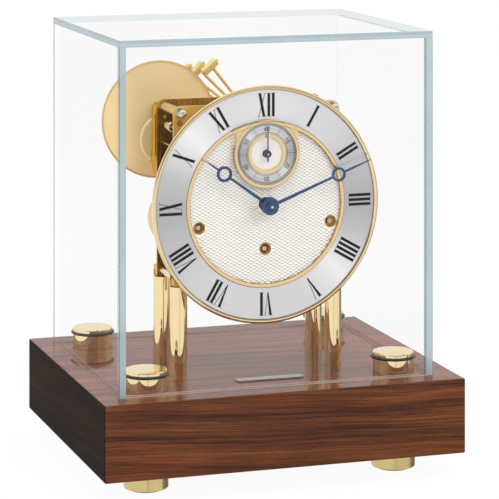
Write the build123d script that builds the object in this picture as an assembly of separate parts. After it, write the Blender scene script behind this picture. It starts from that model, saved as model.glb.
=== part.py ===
from build123d import *
import math
import os

# A table clock with three trains under a glass cover: base block, open movement, dial with
# small seconds, platform escapement at the back, and four nested bells with hammers behind.
# Millimetres. x runs right as seen from the front, y runs from front to back, z is up from
# the floor. A centre in the movement is an (x, z) pair, and a *_Y pair is a span along y.
# *_R is a radius. Hand and numeral angles are degrees clockwise from twelve.

os.makedirs("parts", exist_ok=True)

# ---------------------------------------------------------------- driving dimensions
BASE_W, BASE_D, BASE_H = 245.0, 208.0, 49.0
FOOT_R, FOOT_TOP, PAD_TOP = 14.6, 15.0, 1.2
BASE_TOP = FOOT_TOP + BASE_H
POST_R, POST_H = 13.75, 13.5
POST_TOP = BASE_TOP + POST_H
SIGNS = [(-1, -1), (1, -1), (-1, 1), (1, 1)]
CORNERS = [(sx * 85.5, sy * 68.0) for sx, sy in SIGNS]

GLASS_T, GLASS_LEFT, GLASS_RIGHT, GLASS_Y, GLASS_TOP = 4.5, -108.9, 106.0, 88.0, 291.7
LID_BOTTOM = GLASS_TOP - GLASS_T

# movement plates: outer and inner faces along y
FRONT_OUT, FRONT_IN = -38.2, -36.2
BACK_IN, BACK_OUT = 0.7, 2.7
PLATE_X, PLATE_TOP = 58.25, 242.0
COLUMN_R, COLUMN_X = 5.85, 54.2
COLUMNS = [(sx * COLUMN_X, y) for sx in (-1, 1) for y in (FRONT_IN, BACK_OUT)]
SHOULDER_Z, COLUMN_TOP, LOW_SCREW_Z = 122.8, 130.6, 127.3
PILLAR_X, PILLAR_Z, PILLAR_R = 53.5, 237.4, 3.2
PLATE_SCREWS = [(-54.2, 230.8), (54.2, 230.8)]
LOWER_ROD, UPPER_ROD = (-55.2, 213.8), (-54.2, 226.3)

DIAL_Z, SECONDS_Z = 177.5, 211.0
DIAL_FRONT, DIAL_BACK = -54.0, -52.5
BEZEL_RO, BEZEL_RI = 78.75, 75.7
CHAPTER_RI, INNER_RI = 55.15, 52.4
SUB_RO, SUB_RI = 22.6, 20.5
SEAT = 0.05
MINUTE_ANGLE, HOUR_ANGLE, SECONDS_ANGLE = 68.5, 305.75, 0.0

PIVOT_R = 0.60
PIVOT_HOLE_R = PIVOT_R + 0.08

# bells, as (mouth radius, mouth y)
BELL = (-49.1, 225.0)
BELL_SET = [(39.9, 30.0), (34.0, 43.5), (28.5, 57.0), (23.5, 70.5)]
BELL_WALL = 1.5
HAMMER_PIVOT = (18.2, 223.4)
DRUM_PIN_TIP_R, DRUM_PIN_R = 9.5, 0.45


# ---------------------------------------------------------------- shape helpers
def solids_of(shape):
    """Every solid in a shape or in nested lists of shapes."""
    if isinstance(shape, (list, tuple)):
        return [solid for item in shape for solid in solids_of(item)]
    return list(shape.solids())


def one(shape):
    solids = solids_of(shape)
    return solids[0] if len(solids) == 1 else Compound(solids)


def cut(body, *tools):
    return one(body.cut(*solids_of(tools)))


def fuse(*shapes):
    first, *rest = solids_of(shapes)
    return one(first.fuse(*rest)) if rest else first


def box(x0, x1, y0, y1, z0, z1):
    return Solid.make_box(x1 - x0, y1 - y0, z1 - z0, Plane(origin=(x0, y0, z0)))


def cyl_y(centre, y0, y1, r):
    x, z = centre
    plane = Plane(origin=(x, y0, z), x_dir=(1, 0, 0), z_dir=(0, 1, 0))
    return Solid.make_cylinder(r, y1 - y0, plane)


def cyl_z(xy, z0, z1, r):
    return Solid.make_cylinder(r, z1 - z0, Plane(origin=(*xy, z0)))


def ring_y(centre, y0, y1, outer_r, inner_r):
    return cut(cyl_y(centre, y0, y1, outer_r), cyl_y(centre, y0 - 1, y1 + 1, inner_r))


def prism(points, y0, y1):
    """An outline of (x, z) points carried from y0 to y1."""
    outline = Wire.make_polygon([Vector(x, y0, z) for x, z in points], close=True)
    return Solid.extrude(Face(outline), Vector(0, y1 - y0, 0))


def lathe_y(centre, profile):
    """A profile of (radius, y) points turned about the y line through centre."""
    outline = Wire.make_polygon([Vector(r, y, 0) for r, y in profile], close=True)
    x, z = centre
    return Solid.revolve(Face(outline), 360, Axis.Y).moved(Location((x, 0, z)))


def lathe_z(xy, profile):
    """A profile of (radius, z) points turned about the upright line through xy."""
    outline = Wire.make_polygon([Vector(r, 0, z) for r, z in profile], close=True)
    return Solid.revolve(Face(outline), 360, Axis.Z).moved(Location((*xy, 0)))


def rod(start, end, r):
    start, end = Vector(*start), Vector(*end)
    way = end - start
    return Solid.make_cylinder(r, way.length, Plane(origin=start, z_dir=way.normalized()))


def rod_at(y, start, end, r):
    """A rod between two (x, z) points at one depth."""
    return rod((start[0], y, start[1]), (end[0], y, end[1]), r)


def hexagon(centre, r, y0, y1, first=0.0):
    angles = [first + i * math.pi / 3 for i in range(6)]
    return prism([polar(centre, r, a) for a in angles], y0, y1)


def round_edges(solid, length, radius, above=0):
    """Round the edges of one length whose middles lie above a height."""
    edges = [e for e in solid.edges() if abs(e.length - length) < 1e-3 and e.center().Z > above]
    return solid.fillet(radius, edges)


# ---------------------------------------------------------------- plane geometry helpers
def polar(centre, r, angle):
    return (centre[0] + r * math.cos(angle), centre[1] + r * math.sin(angle))


def along(point, way, distance):
    return (point[0] + distance * way[0], point[1] + distance * way[1])


def unit(start, end):
    """The unit direction between two points, and their distance."""
    dx, dz = end[0] - start[0], end[1] - start[1]
    distance = math.hypot(dx, dz)
    return (dx / distance, dz / distance), distance


def turn(points, degrees, centre):
    """Local (right, up) points turned clockwise and placed at centre."""
    s, c = math.sin(math.radians(degrees)), math.cos(math.radians(degrees))
    return [(centre[0] + u * c + v * s, centre[1] - u * s + v * c) for u, v in points]


def rect(u0, u1, v0, v1):
    return [(u0, v0), (u1, v0), (u1, v1), (u0, v1)]


def stroke(start, end, width):
    """The outline of a straight bar, lengthened by half its width at both ends."""
    (ex, ez), _ = unit(start, end)
    ex, ez = ex * width / 2, ez * width / 2
    (ax, az), (bx, bz) = start, end
    return [(ax - ex - ez, az - ez + ex), (bx + ex - ez, bz + ez + ex),
            (bx + ex + ez, bz + ez - ex), (ax - ex + ez, az - ez - ex)]


def meet(p, p_radius, q, q_radius, side):
    """The point at both radii from p and q, on the given side of the line from p to q."""
    (ex, ez), distance = unit(p, q)
    a = (p_radius * p_radius - q_radius * q_radius + distance * distance) / (2 * distance)
    h = math.sqrt(p_radius * p_radius - a * a) * side
    return (p[0] + a * ex - h * ez, p[1] + a * ez + h * ex)


# ---------------------------------------------------------------- gears
# Tooth forms: height above and depth below the pitch circle in modules, then the half widths
# at tip, pitch circle and root as fractions of the pitch.
WHEEL = (0.60, 0.95, 0.085, 0.185, 0.215)
PINION = (0.50, 0.80, 0.060, 0.150, 0.160)
FINE_PINION = (0.50, 0.72, 0.060, 0.150, 0.160)


def gear(centre, y0, y1, teeth, module, mate, form=WHEEL):
    """A toothed blank. A wheel points a tooth at its mate, a pinion points a gap."""
    above, below, tip, middle, root = form
    pitch_r, pitch = teeth * module / 2, 2 * math.pi / teeth
    root_r, tip_r = pitch_r - below * module, pitch_r + above * module
    start = math.atan2(mate[1] - centre[1], mate[0] - centre[0])
    if form is not WHEEL:
        start += math.pi / teeth
    flank = ((root_r, -root), (pitch_r, -middle), (tip_r, -tip),
             (tip_r, tip), (pitch_r, middle), (root_r, root))
    points = [polar(centre, r, start + i * pitch + f * pitch)
              for i in range(teeth) for r, f in flank]
    return prism(points, y0, y1)


def windows(centre, y0, y1, inner_r, outer_r, spokes, width):
    """Cutters for the openings between spokes."""
    bar = rect(-width / 2, width / 2, 0, outer_r + 1)
    bars = [prism(turn(bar, 90 + i * 360 / spokes, centre), y0 - 2, y1 + 2)
            for i in range(spokes)]
    # the first bar lies along +x
    return cut(ring_y(centre, y0 - 1, y1 + 1, outer_r, inner_r), bars)


def spoked_wheel(centre, y0, y1, teeth, module, mate, bore=1.0):
    rim_r = teeth * module / 2 - WHEEL[1] * module - 1.3
    return cut(gear(centre, y0, y1, teeth, module, mate),
               windows(centre, y0, y1, 3.2, rim_r, 5, 1.5),
               cyl_y(centre, y0 - 1, y1 + 1, bore))


def arbor(centre, *extra, r=1.0, back=0.4, front_tip=-38.0, back_tip=2.5, pivot_r=PIVOT_R):
    return fuse(cyl_y(centre, -35.9, back, r),
                cyl_y(centre, front_tip, -35.7, pivot_r),
                cyl_y(centre, back - 0.2, back_tip, pivot_r), *extra)


def spacing(wheel_teeth, pinion_teeth, module):
    return (wheel_teeth + pinion_teeth) * module / 2


# (wheel teeth, pinion teeth, module) of each pair
TIME_GREAT = (74, 10, 0.6)
INTERMEDIATE_PAIR = (60, 10, 0.49)
CENTRE_PAIR = (64, 8, 0.48)
THIRD_PAIR = (60, 8, 0.49)
FOURTH_PAIR = (70, 7, 0.4)
MINUTE_PAIR = (42, 14, 0.45)
HOUR_PAIR = (48, 12, 0.42)
SIDE_GREAT = (74, 8, 0.6)
SIDE_SECOND = (60, 8, 0.45)
SIDE_THIRD = (56, 7, 0.48)


# arbor centres
def mirrored(point):
    return (-point[0], point[1])


CENTRE = (0.0, DIAL_Z)
FOURTH = (0.0, SECONDS_Z)
TIME_KEY, CHIME_KEY = (0.0, 147.8), (45.75, 163.7)
STRIKE_KEY = mirrored(CHIME_KEY)
INTERMEDIATE = meet(TIME_KEY, spacing(*TIME_GREAT), CENTRE, spacing(*INTERMEDIATE_PAIR), -1)
THIRD = meet(CENTRE, spacing(*CENTRE_PAIR), FOURTH, spacing(*THIRD_PAIR), 1)
ESCAPE = (spacing(*FOURTH_PAIR), SECONDS_Z)
LEVER = (23.5, SECONDS_Z)
BALANCE = (33.0, SECONDS_Z)
MINUTE_STUD = polar(CENTRE, spacing(*MINUTE_PAIR), math.radians(-30))
CHIME_SECOND = polar(CHIME_KEY, spacing(*SIDE_GREAT), math.radians(94.1))
CHIME_THIRD = polar(CHIME_SECOND, spacing(*SIDE_SECOND), math.radians(89.6))
CHIME_FLY = polar(CHIME_THIRD, spacing(*SIDE_THIRD), math.radians(120.0))
CHIME = (CHIME_KEY, CHIME_SECOND, CHIME_THIRD, CHIME_FLY)
STRIKE = tuple(mirrored(point) for point in CHIME)
KEYS = (TIME_KEY, STRIKE_KEY, CHIME_KEY)
CLICK_RISE = 14.5


# ---------------------------------------------------------------- base
def base_block():
    slab = box(-BASE_W / 2, BASE_W / 2, -BASE_D / 2, BASE_D / 2, FOOT_TOP, BASE_TOP)
    slab = slab.fillet(0.9, slab.edges())
    holes = [cyl_z(xy, FOOT_TOP - 1, BASE_TOP + 1, 3.2) for xy in CORNERS]
    for xy in COLUMNS:
        holes.append(cyl_z(xy, FOOT_TOP - 1, BASE_TOP + 1, 2.3))
        holes.append(cyl_z(xy, FOOT_TOP - 1, FOOT_TOP + 24, 5.2))
    return cut(slab, holes)


def feet():
    profile = [(5.6, PAD_TOP), (FOOT_R - 0.6, PAD_TOP), (FOOT_R, PAD_TOP + 0.6),
               (FOOT_R, FOOT_TOP - 0.6), (FOOT_R - 0.6, FOOT_TOP), (3.1, FOOT_TOP),
               (3.1, 7.6), (5.6, 7.6)]
    return [lathe_z(xy, profile) for xy in CORNERS]


def foot_pads():
    return [cyl_z(xy, 0, PAD_TOP, FOOT_R - 3.6) for xy in CORNERS]


def post_ring(xy, section_r):
    plane = Plane(origin=(*xy, BASE_TOP + 10.0))
    return Solid.make_torus(POST_R + 0.30, section_r, plane)


def corner_posts():
    """Posts with a blind hole from below and a groove for the O-ring."""
    profile = [
        (0, BASE_TOP + 10), (3.05, BASE_TOP + 10), (3.05, BASE_TOP), (POST_R - 0.5, BASE_TOP),
        (POST_R - 0.5, BASE_TOP + 0.5), (POST_R, BASE_TOP + 0.5), (POST_R, POST_TOP - 1.1),
        (POST_R - 0.12, POST_TOP - 0.62), (POST_R - 0.45, POST_TOP - 0.25),
        (POST_R - 1.0, POST_TOP - 0.05), (POST_R - 1.5, POST_TOP), (0, POST_TOP)]
    return [cut(lathe_z(xy, profile), post_ring(xy, 0.95 + 0.04)) for xy in CORNERS]


def post_o_rings():
    return [post_ring(xy, 0.95) for xy in CORNERS]


def socket_bolt(xy, head_z, head_r, socket_top, socket_r, shank_top, shank_r):
    head = cut(cyl_z(xy, *head_z, head_r), cyl_z(xy, head_z[0] - 1, socket_top, socket_r))
    return fuse(head, cyl_z(xy, head_z[1] - 0.1, shank_top, shank_r))


def base_bolts():
    post_bolts = [
        socket_bolt(xy, head_z=(3.2, 7.6), head_r=5.2, socket_top=5.4, socket_r=2.5,
                    shank_top=BASE_TOP + 9.4, shank_r=3.0) for xy in CORNERS]
    column_bolts = [
        socket_bolt(xy, head_z=(FOOT_TOP + 20, FOOT_TOP + 24), head_r=4.6,
                    socket_top=FOOT_TOP + 22, socket_r=2.0,
                    shank_top=BASE_TOP + 14.5, shank_r=2.1) for xy in COLUMNS]
    return post_bolts + column_bolts


def name_plate():
    thickness = 0.8
    plate = box(-23, 23, -68.5, -60.5, BASE_TOP, BASE_TOP + thickness)
    return round_edges(plate, thickness, 1.0)


# ---------------------------------------------------------------- glass cover
def side_pane(x0, x1, outer_x):
    pane = box(x0, x1, -GLASS_Y, GLASS_Y, BASE_TOP, LID_BOTTOM)
    edges = [e for e in pane.edges() if abs(e.center().X - outer_x) < 1e-3
             and abs(e.length - (LID_BOTTOM - BASE_TOP)) < 1e-3]
    return pane.chamfer(0.45, None, edges)


def glass_walls():
    x0, x1 = GLASS_LEFT + GLASS_T, GLASS_RIGHT - GLASS_T
    return [box(x0, x1, -GLASS_Y, -GLASS_Y + GLASS_T, BASE_TOP, LID_BOTTOM),
            box(x0, x1, GLASS_Y - GLASS_T, GLASS_Y, BASE_TOP, LID_BOTTOM),
            side_pane(GLASS_LEFT, x0, GLASS_LEFT),
            side_pane(x1, GLASS_RIGHT, GLASS_RIGHT)]


def glass_lid():
    lid = box(GLASS_LEFT, GLASS_RIGHT, -GLASS_Y, GLASS_Y, LID_BOTTOM, GLASS_TOP)
    edges = [e for e in lid.edges() if abs(e.length - GLASS_T) < 1e-3
             or abs(e.center().Z - GLASS_TOP) < 1e-3]
    return lid.chamfer(0.45, None, edges)


# ---------------------------------------------------------------- movement frame
def column(x, y):
    """A column halved at the top to take a plate, with a small step round its foot."""
    xy = (x, y)
    body = cut(cyl_z(xy, BASE_TOP, COLUMN_TOP, COLUMN_R),
               box(x - 7, x + 7, y - 7, y, SHOULDER_Z, COLUMN_TOP + 1),
               cyl_z(xy, BASE_TOP - 1, BASE_TOP + 15, 2.15),
               cyl_y((x, LOW_SCREW_Z), y - 8, y + 8, 1.6))
    return cut(body, cut(cyl_z(xy, BASE_TOP - 1, BASE_TOP + 0.5, COLUMN_R + 1),
                         cyl_z(xy, BASE_TOP - 2, BASE_TOP + 1, COLUMN_R - 0.45)))


def columns():
    return [column(x, y) for x, y in COLUMNS]


def movement_plate(y0, y1, holes):
    """A plate with holes given as (centre, radius); its top corners are rounded."""
    common = [(LOWER_ROD, PIVOT_R + 0.02), (UPPER_ROD, PIVOT_R + 0.02)]
    common += [(key, 2.58) for key in KEYS]
    common += [((sx * PILLAR_X, PILLAR_Z), 1.65) for sx in (-1, 1)]
    common += [((sx * COLUMN_X, LOW_SCREW_Z), 1.6) for sx in (-1, 1)]
    pivots = (INTERMEDIATE, THIRD, FOURTH, *CHIME[2:], *STRIKE[1:])
    common += [(pivot, PIVOT_HOLE_R) for pivot in pivots]
    plate = box(-PLATE_X, PLATE_X, y0, y1, SHOULDER_Z, PLATE_TOP)
    plate = round_edges(plate, y1 - y0, 5.0, above=200)
    return cut(plate, [cyl_y(centre, y0 - 1, y1 + 1, r) for centre, r in common + holes])


def front_plate():
    """The front plate, counterbored for two screws, with the minute wheel's stud."""
    holes = [(CHIME_SECOND, PIVOT_HOLE_R), (CENTRE, 1.3), (ESCAPE, PIVOT_HOLE_R)]
    holes += [(screw, 1.3) for screw in PLATE_SCREWS]
    plate = movement_plate(FRONT_OUT, FRONT_IN, holes)
    plate = cut(plate, [cyl_y(screw, FRONT_OUT - 1, FRONT_OUT + 0.5, 1.95)
                        for screw in PLATE_SCREWS])
    return fuse(plate, cyl_y(MINUTE_STUD, -46.9, FRONT_OUT + 0.5, 0.9))


def back_plate():
    """The back plate with a stud for each click."""
    holes = [(CHIME_SECOND, 1.58), (CENTRE, 0.88), (ESCAPE, 1.6), ((-52.8, 230.3), 1.3)]
    plate = movement_plate(BACK_IN, BACK_OUT, holes)
    for x, z in KEYS:
        plate = fuse(plate, cyl_y((x, z + CLICK_RISE), BACK_OUT - 0.5, 5.4, 1.0))
    return plate


def plate_pillars():
    """Upper and lower pillars, and the two rods at the left."""
    solids = []
    for sx in (-1, 1):
        top, low = (sx * PILLAR_X, PILLAR_Z), (sx * COLUMN_X, LOW_SCREW_Z)
        solids.append(fuse(cyl_y(top, FRONT_IN, BACK_IN, PILLAR_R),
                           cyl_y(top, -42.2, 7.0, 1.55)))
        solids.append(cut(cyl_y(low, FRONT_IN + COLUMN_R, BACK_IN, 3.0),
                          cyl_y(low, -32, -20, 1.6), cyl_y(low, -12, 2, 1.6)))
    solids.append(fuse(cyl_y(LOWER_ROD, -35.9, 0.4, 0.9), cyl_y(LOWER_ROD, -38.0, 2.5, PIVOT_R)))
    hub = [(0, -22.5), (2.6, -22.5), (3.5, -21.8), (3.5, -15.0), (2.6, -14.0), (0, -14.0)]
    finger = [(-54.9, 226.3), (-53.5, 226.3), (-47.2, 214.8), (-48.4, 214.2)]
    solids.append(fuse(cyl_y(UPPER_ROD, -35.9, 0.4, 1.0), cyl_y(UPPER_ROD, -38.0, 2.5, PIVOT_R),
                       lathe_y(UPPER_ROD, hub), prism(finger, -20.0, -18.5)))
    return solids


def slotted_screw(centre, head_y, head_r, slot_y, half_slot, shank_y, shank_r):
    x, z = centre
    slot = box(x - 3, x + 3, *slot_y, z - half_slot, z + half_slot)
    return fuse(cut(cyl_y(centre, *head_y, head_r), slot), cyl_y(centre, *shank_y, shank_r))


def pillar_nuts():
    """Nuts and washers on the pillars, and the slotted plate screws."""
    solids = []
    washer_t, nut_front, nut_back = 0.7, -41.4, 6.0
    back = BACK_OUT + COLUMN_R
    dome = [(0, nut_front + 0.2), (2.75, nut_front + 0.2), (2.75, -44.4), (2.4, -45.2),
            (1.6, -45.7), (0, -45.9)]
    for sx in (-1, 1):
        top, low = (sx * PILLAR_X, PILLAR_Z), (sx * COLUMN_X, LOW_SCREW_Z)
        domed = fuse(hexagon(top, 3.35, nut_front, FRONT_OUT - washer_t, 0.3),
                     lathe_y(top, dome))
        plain = hexagon(top, 3.35, BACK_OUT + washer_t, nut_back, 0.3)
        solids += [cut(nut, cyl_y(top, -42.6, nut_back + 1, 1.6)) for nut in (domed, plain)]
        solids += [ring_y(top, y, y + washer_t, 3.7, 1.65)
                   for y in (FRONT_OUT - washer_t, BACK_OUT)]
        solids.append(slotted_screw(
            low, head_y=(FRONT_OUT - 1.7, FRONT_OUT), head_r=2.8,
            slot_y=(FRONT_OUT - 2, FRONT_OUT - 1.0), half_slot=0.35,
            shank_y=(FRONT_OUT - 0.1, -22), shank_r=1.5))
        solids.append(slotted_screw(
            low, head_y=(back, back + 1.7), head_r=2.8, slot_y=(back + 1.0, back + 2),
            half_slot=0.35, shank_y=(-8, back + 0.1), shank_r=1.5))
    for screw in PLATE_SCREWS:
        solids.append(slotted_screw(
            screw, head_y=(FRONT_OUT - 0.9, FRONT_OUT + 0.45), head_r=1.85,
            slot_y=(FRONT_OUT - 2, FRONT_OUT - 0.5), half_slot=0.3,
            shank_y=(FRONT_OUT + 0.3, FRONT_IN + 0.6), shank_r=1.3))
    return solids


# ---------------------------------------------------------------- dial
KEY_HOLES = (TIME_KEY, (-45.7, 163.7), (45.7, 163.7))
SECONDS_FRONT = -58.6


def dial_holes():
    return [cyl_y(CENTRE, -70, -50, 4.5), cyl_y(FOURTH, -70, -50, 2.9),
            *[cyl_y(hole, -70, -50, 4.25) for hole in KEY_HOLES]]


def dial_plate():
    dial_feet = [cyl_y((sx * 42.4, DIAL_Z + sz * 42.4), -53.0, FRONT_OUT, 2.0)
                 for sx, sz in SIGNS]
    return fuse(cut(cyl_y(CENTRE, DIAL_FRONT, DIAL_BACK, 76.5), dial_holes()), dial_feet)


def dial_bezel():
    return lathe_y(CENTRE, [
        (BEZEL_RI, DIAL_FRONT), (BEZEL_RI, -57.55), (BEZEL_RI + 0.35, -58.0),
        (BEZEL_RI + 1.0, -58.25), (BEZEL_RI + 1.7, -58.2), (BEZEL_RI + 2.35, -57.95),
        (BEZEL_RO - 0.25, -57.6), (BEZEL_RO, -57.2), (BEZEL_RO - 0.15, -56.6),
        (77.2, -53.2), (76.9, -52.8), (76.6, -52.8), (76.6, DIAL_FRONT)])


def chapter_ring():
    return ring_y(CENTRE, -57.2, DIAL_FRONT, BEZEL_RI - SEAT, CHAPTER_RI)


def dial_centre():
    return [cut(cyl_y(CENTRE, -55.0, DIAL_FRONT, INNER_RI - SEAT), dial_holes()),
            cut(cyl_y(FOURTH, -57.8, -55.0, 10.9), cyl_y(FOURTH, -70, -50, 2.9))]


def dial_inner_ring():
    """The ring inside the chapter ring joined to the seconds frame, and a small inner ring."""
    edge_r = CHAPTER_RI - SEAT
    edge_x, edge_z = polar((0, 0), SUB_RO, math.radians(12))
    # right side of the frame from the seconds ring up, as (x, z above the seconds centre)
    side = [(edge_x, edge_z), (20.9, 12.2), (21.6, 13.9), (24.2, 15.2), (24.2, 30)]
    outline = side + [mirrored(point) for point in side[::-1]] + [(0, 0)]
    outline = [(x, SECONDS_Z + z) for x, z in outline]
    frame = fuse(cyl_y(FOURTH, -59.2, -55.0, SUB_RO), prism(outline, -59.2, -55.0))
    frame = one(frame.intersect(cyl_y(CENTRE, -60, -54, 56.1)))
    opening = cyl_y(FOURTH, -70, -50, SUB_RI)
    frame = cut(frame, opening, ring_y(CENTRE, -57.25, -50, 70, edge_r))
    frame = cut(frame, cut(ring_y(CENTRE, -70, -57.2, 70, edge_r),
                           cyl_y(FOURTH, -80, -40, SUB_RO)))
    inner = lathe_y(CENTRE, [
        (INNER_RI, DIAL_FRONT), (INNER_RI, -57.3), (INNER_RI + 0.4, -57.7),
        (CHAPTER_RI - 0.45, -57.7), (edge_r, -57.3), (edge_r, DIAL_FRONT)])
    return [fuse(frame, cut(inner, opening)), ring_y(FOURTH, -59.0, -55.0, 13.1, 10.95)]


def seconds_ring():
    return ring_y(FOURTH, SECONDS_FRONT, -55.0, SUB_RI - SEAT, 13.15)


def winding_sleeves():
    profile = [(2.75, -52.5), (2.75, -53.6), (3.6, -55.3), (4.2, -55.3), (4.2, -52.5)]
    return [lathe_y(hole, profile) for hole in KEY_HOLES]


# Roman numerals stand with their feet to the centre, between radii LOW and HIGH.
STEM, GAP, LOW, HIGH, HAIR, WIDE = 1.85, 1.25, 58.0, 73.4, 0.28, 5.4
V_FOOT = WIDE * 0.56


def serif(u0, u1, top=True):
    return rect(u0, u1, HIGH - HAIR, HIGH) if top else rect(u0, u1, LOW, LOW + HAIR)


# letter: (width, outlines as (right, outward) points from its left edge)
LETTERS = {
    "I": (STEM, [rect(0, STEM, LOW, HIGH), serif(-0.42, STEM + 0.42, top=False),
                 serif(-0.42, STEM + 0.42)]),
    "V": (WIDE, [
        [(0.35, HIGH), (0.35 + STEM, HIGH), (V_FOOT + 0.45, LOW), (V_FOOT - 0.25, LOW)],
        [(WIDE - 0.6, HIGH), (WIDE - 0.25, HIGH), (V_FOOT + 0.3, LOW), (V_FOOT, LOW)],
        serif(-0.1, STEM + 0.75), serif(WIDE - 1.1, WIDE + 0.25)]),
    "X": (WIDE, [
        [(0.35, HIGH), (0.35 + STEM, HIGH), (WIDE - 0.25, LOW), (WIDE - 0.25 - STEM, LOW)],
        [(WIDE - 0.75, HIGH), (WIDE - 0.4, HIGH), (0.75, LOW), (0.4, LOW)],
        serif(-0.05, STEM + 0.75), serif(WIDE - 1.2, WIDE + 0.1),
        serif(-0.1, 1.2, top=False), serif(WIDE - 0.65 - STEM, WIDE + 0.15, top=False)]),
}
NUMERALS = ["XII", "I", "II", "III", "IIII", "V", "VI", "VII", "VIII", "IX", "X", "XI"]

# digit: one pen path on a grid 1 wide and 2 high
DIGITS = {
    "0": [(0, 0), (1, 0), (1, 2), (0, 2), (0, 0)],
    "1": [(0.5, 0), (0.5, 2), (0.15, 1.6)],
    "2": [(1, 0), (0, 0), (1, 1.3), (1, 1.8), (0.5, 2), (0, 1.7)],
    "3": [(0, 2), (1, 2), (0.4, 1.15), (1, 0.8), (0.9, 0.1), (0.4, 0), (0, 0.2)],
    "4": [(0.8, 0), (0.8, 2), (0, 0.6), (1.1, 0.6)],
    "5": [(1, 2), (0.1, 2), (0, 1.1), (0.7, 1.2), (1, 0.7), (0.7, 0), (0, 0.1)],
    "6": [(0.9, 2), (0.1, 1.1), (0, 0.3), (0.5, 0), (1, 0.4), (0.6, 1.1), (0.1, 0.8)],
}
SECONDS_MARK_Y = (SECONDS_FRONT - 0.12, SECONDS_FRONT)


def numeral(text, degrees):
    left = -(sum(LETTERS[ch][0] for ch in text) + GAP * (len(text) - 1)) / 2
    strokes = []
    for ch in text:
        width, outlines = LETTERS[ch]
        for outline in outlines:
            placed = turn([(left + u, v) for u, v in outline], degrees, CENTRE)
            strokes.append(prism(placed, -57.32, -57.2))
        left += width + GAP
    return fuse(strokes)


def seconds_track():
    circles = [ring_y(FOURTH, *SECONDS_MARK_Y, outer_r, inner_r)
               for outer_r, inner_r in ((14.35, 14.15), (19.9, 19.65), (18.95, 18.8))]
    ticks = []
    for i in range(60):
        start_r = 14.3 if i % 10 == 5 else 18.9
        width = 0.11 if i % 5 else 0.17
        tick = rect(-width / 2, width / 2, start_r, 19.7)
        ticks.append(prism(turn(tick, i * 6, FOURTH), *SECONDS_MARK_Y))
    return fuse(circles, ticks)


def seconds_digit(ch, left, degrees):
    size, foot_r, pen = 1.25, 15.25, 0.34
    path = [(left + u * size, foot_r + v * size) for u, v in DIGITS[ch]]
    return fuse([prism(turn(stroke(start, end, pen), degrees, FOURTH), *SECONDS_MARK_Y)
                 for start, end in zip(path, path[1:])])


def dial_markings():
    hours = [numeral(text, i * 30) for i, text in enumerate(NUMERALS)]
    digits = [seconds_digit(ch, left, i * 60)
              for i, text in enumerate(["60", "10", "20", "30", "40", "50"])
              for ch, left in zip(text, (-1.65, 0.4))]
    return [hours, seconds_track(), digits]


# ---------------------------------------------------------------- hands
def ring_hand(angle, y0, y1, bore, ring_at, ring_ro, ring_ri, root_w, ring_w, tip):
    """A tapered hand with an open ring, on a round boss."""
    half, shoulder = ring_w / 2, ring_at + (tip - ring_at) * 0.55
    tail = [(-root_w / 2, 0), (root_w / 2, 0), (half, ring_at - ring_ri),
            (-half, ring_at - ring_ri)]
    point = [(-half, ring_at + ring_ri), (half, ring_at + ring_ri), (half * 0.85, shoulder),
             (0.16, tip), (-0.16, tip), (-half * 0.85, shoulder)]
    ring_centre = turn([(0, ring_at)], angle, CENTRE)[0]
    body = fuse(cyl_y(CENTRE, y0, y1, 5.8), prism(turn(tail, angle, CENTRE), y0, y1),
                prism(turn(point, angle, CENTRE), y0, y1), cyl_y(ring_centre, y0, y1, ring_ro))
    return cut(body, cyl_y(ring_centre, y0 - 1, y1 + 1, ring_ri),
               cyl_y(CENTRE, y0 - 1, y1 + 1, bore))


def hour_hand():
    return ring_hand(HOUR_ANGLE, -63.7, -62.6, bore=3.22, ring_at=38.0, ring_ro=5.25,
                     ring_ri=3.4, root_w=2.3, ring_w=1.5, tip=54.4)


def minute_hand():
    """The minute hand and the domed nut in front of it."""
    y0, y1 = -66.7, -65.6
    nut = lathe_y(CENTRE, [(0, y0), (3.1, y0), (3.1, -67.3), (2.9, -67.9), (2.4, -68.5),
                           (1.7, -68.9), (1.0, -69.1), (0, -69.1)])
    hand = ring_hand(MINUTE_ANGLE, y0, y1, bore=1.25, ring_at=51.25, ring_ro=4.8,
                     ring_ri=3.2, root_w=2.2, ring_w=1.35, tip=75.4)
    return [hand, cut(nut, cyl_y(CENTRE, -75, -60, 0.95))]


def seconds_hand():
    outline = [(-0.5, -5.0), (0.5, -5.0), (0.45, 0), (0.2, 18.6), (-0.2, 18.6), (-0.45, 0)]
    hand = fuse(cyl_y(FOURTH, -61.1, -60.5, 2.4),
                prism(turn(outline, SECONDS_ANGLE, FOURTH), -61.1, -60.5))
    return cut(hand, cyl_y(FOURTH, -65, -55, 0.65))


# ---------------------------------------------------------------- going train
def centre_arbor():
    """The centre arbor, its wheel, and the sleeve with the pinion of the minute wheel."""
    wheel_teeth, _, module = CENTRE_PAIR
    _, pinion_teeth, pinion_module = INTERMEDIATE_PAIR
    _, cannon_teeth, cannon_module = MINUTE_PAIR
    shaft = fuse(cyl_y(CENTRE, -65.6, 0.4, 1.2), cyl_y(CENTRE, -69.9, -65.4, 0.9),
                 cyl_y(CENTRE, 0.2, 2.5, 0.8),
                 gear(CENTRE, -3.6, -0.8, pinion_teeth, pinion_module, INTERMEDIATE, PINION))
    sleeve = fuse(cyl_y(CENTRE, -65.55, -38.9, 2.2),
                  gear(CENTRE, -43.4, -40.8, cannon_teeth, cannon_module, MINUTE_STUD, PINION))
    return [shaft, spoked_wheel(CENTRE, -34.6, -33.4, wheel_teeth, module, THIRD, bore=1.2),
            cut(sleeve, cyl_y(CENTRE, -70, -30, 1.21))]


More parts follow.
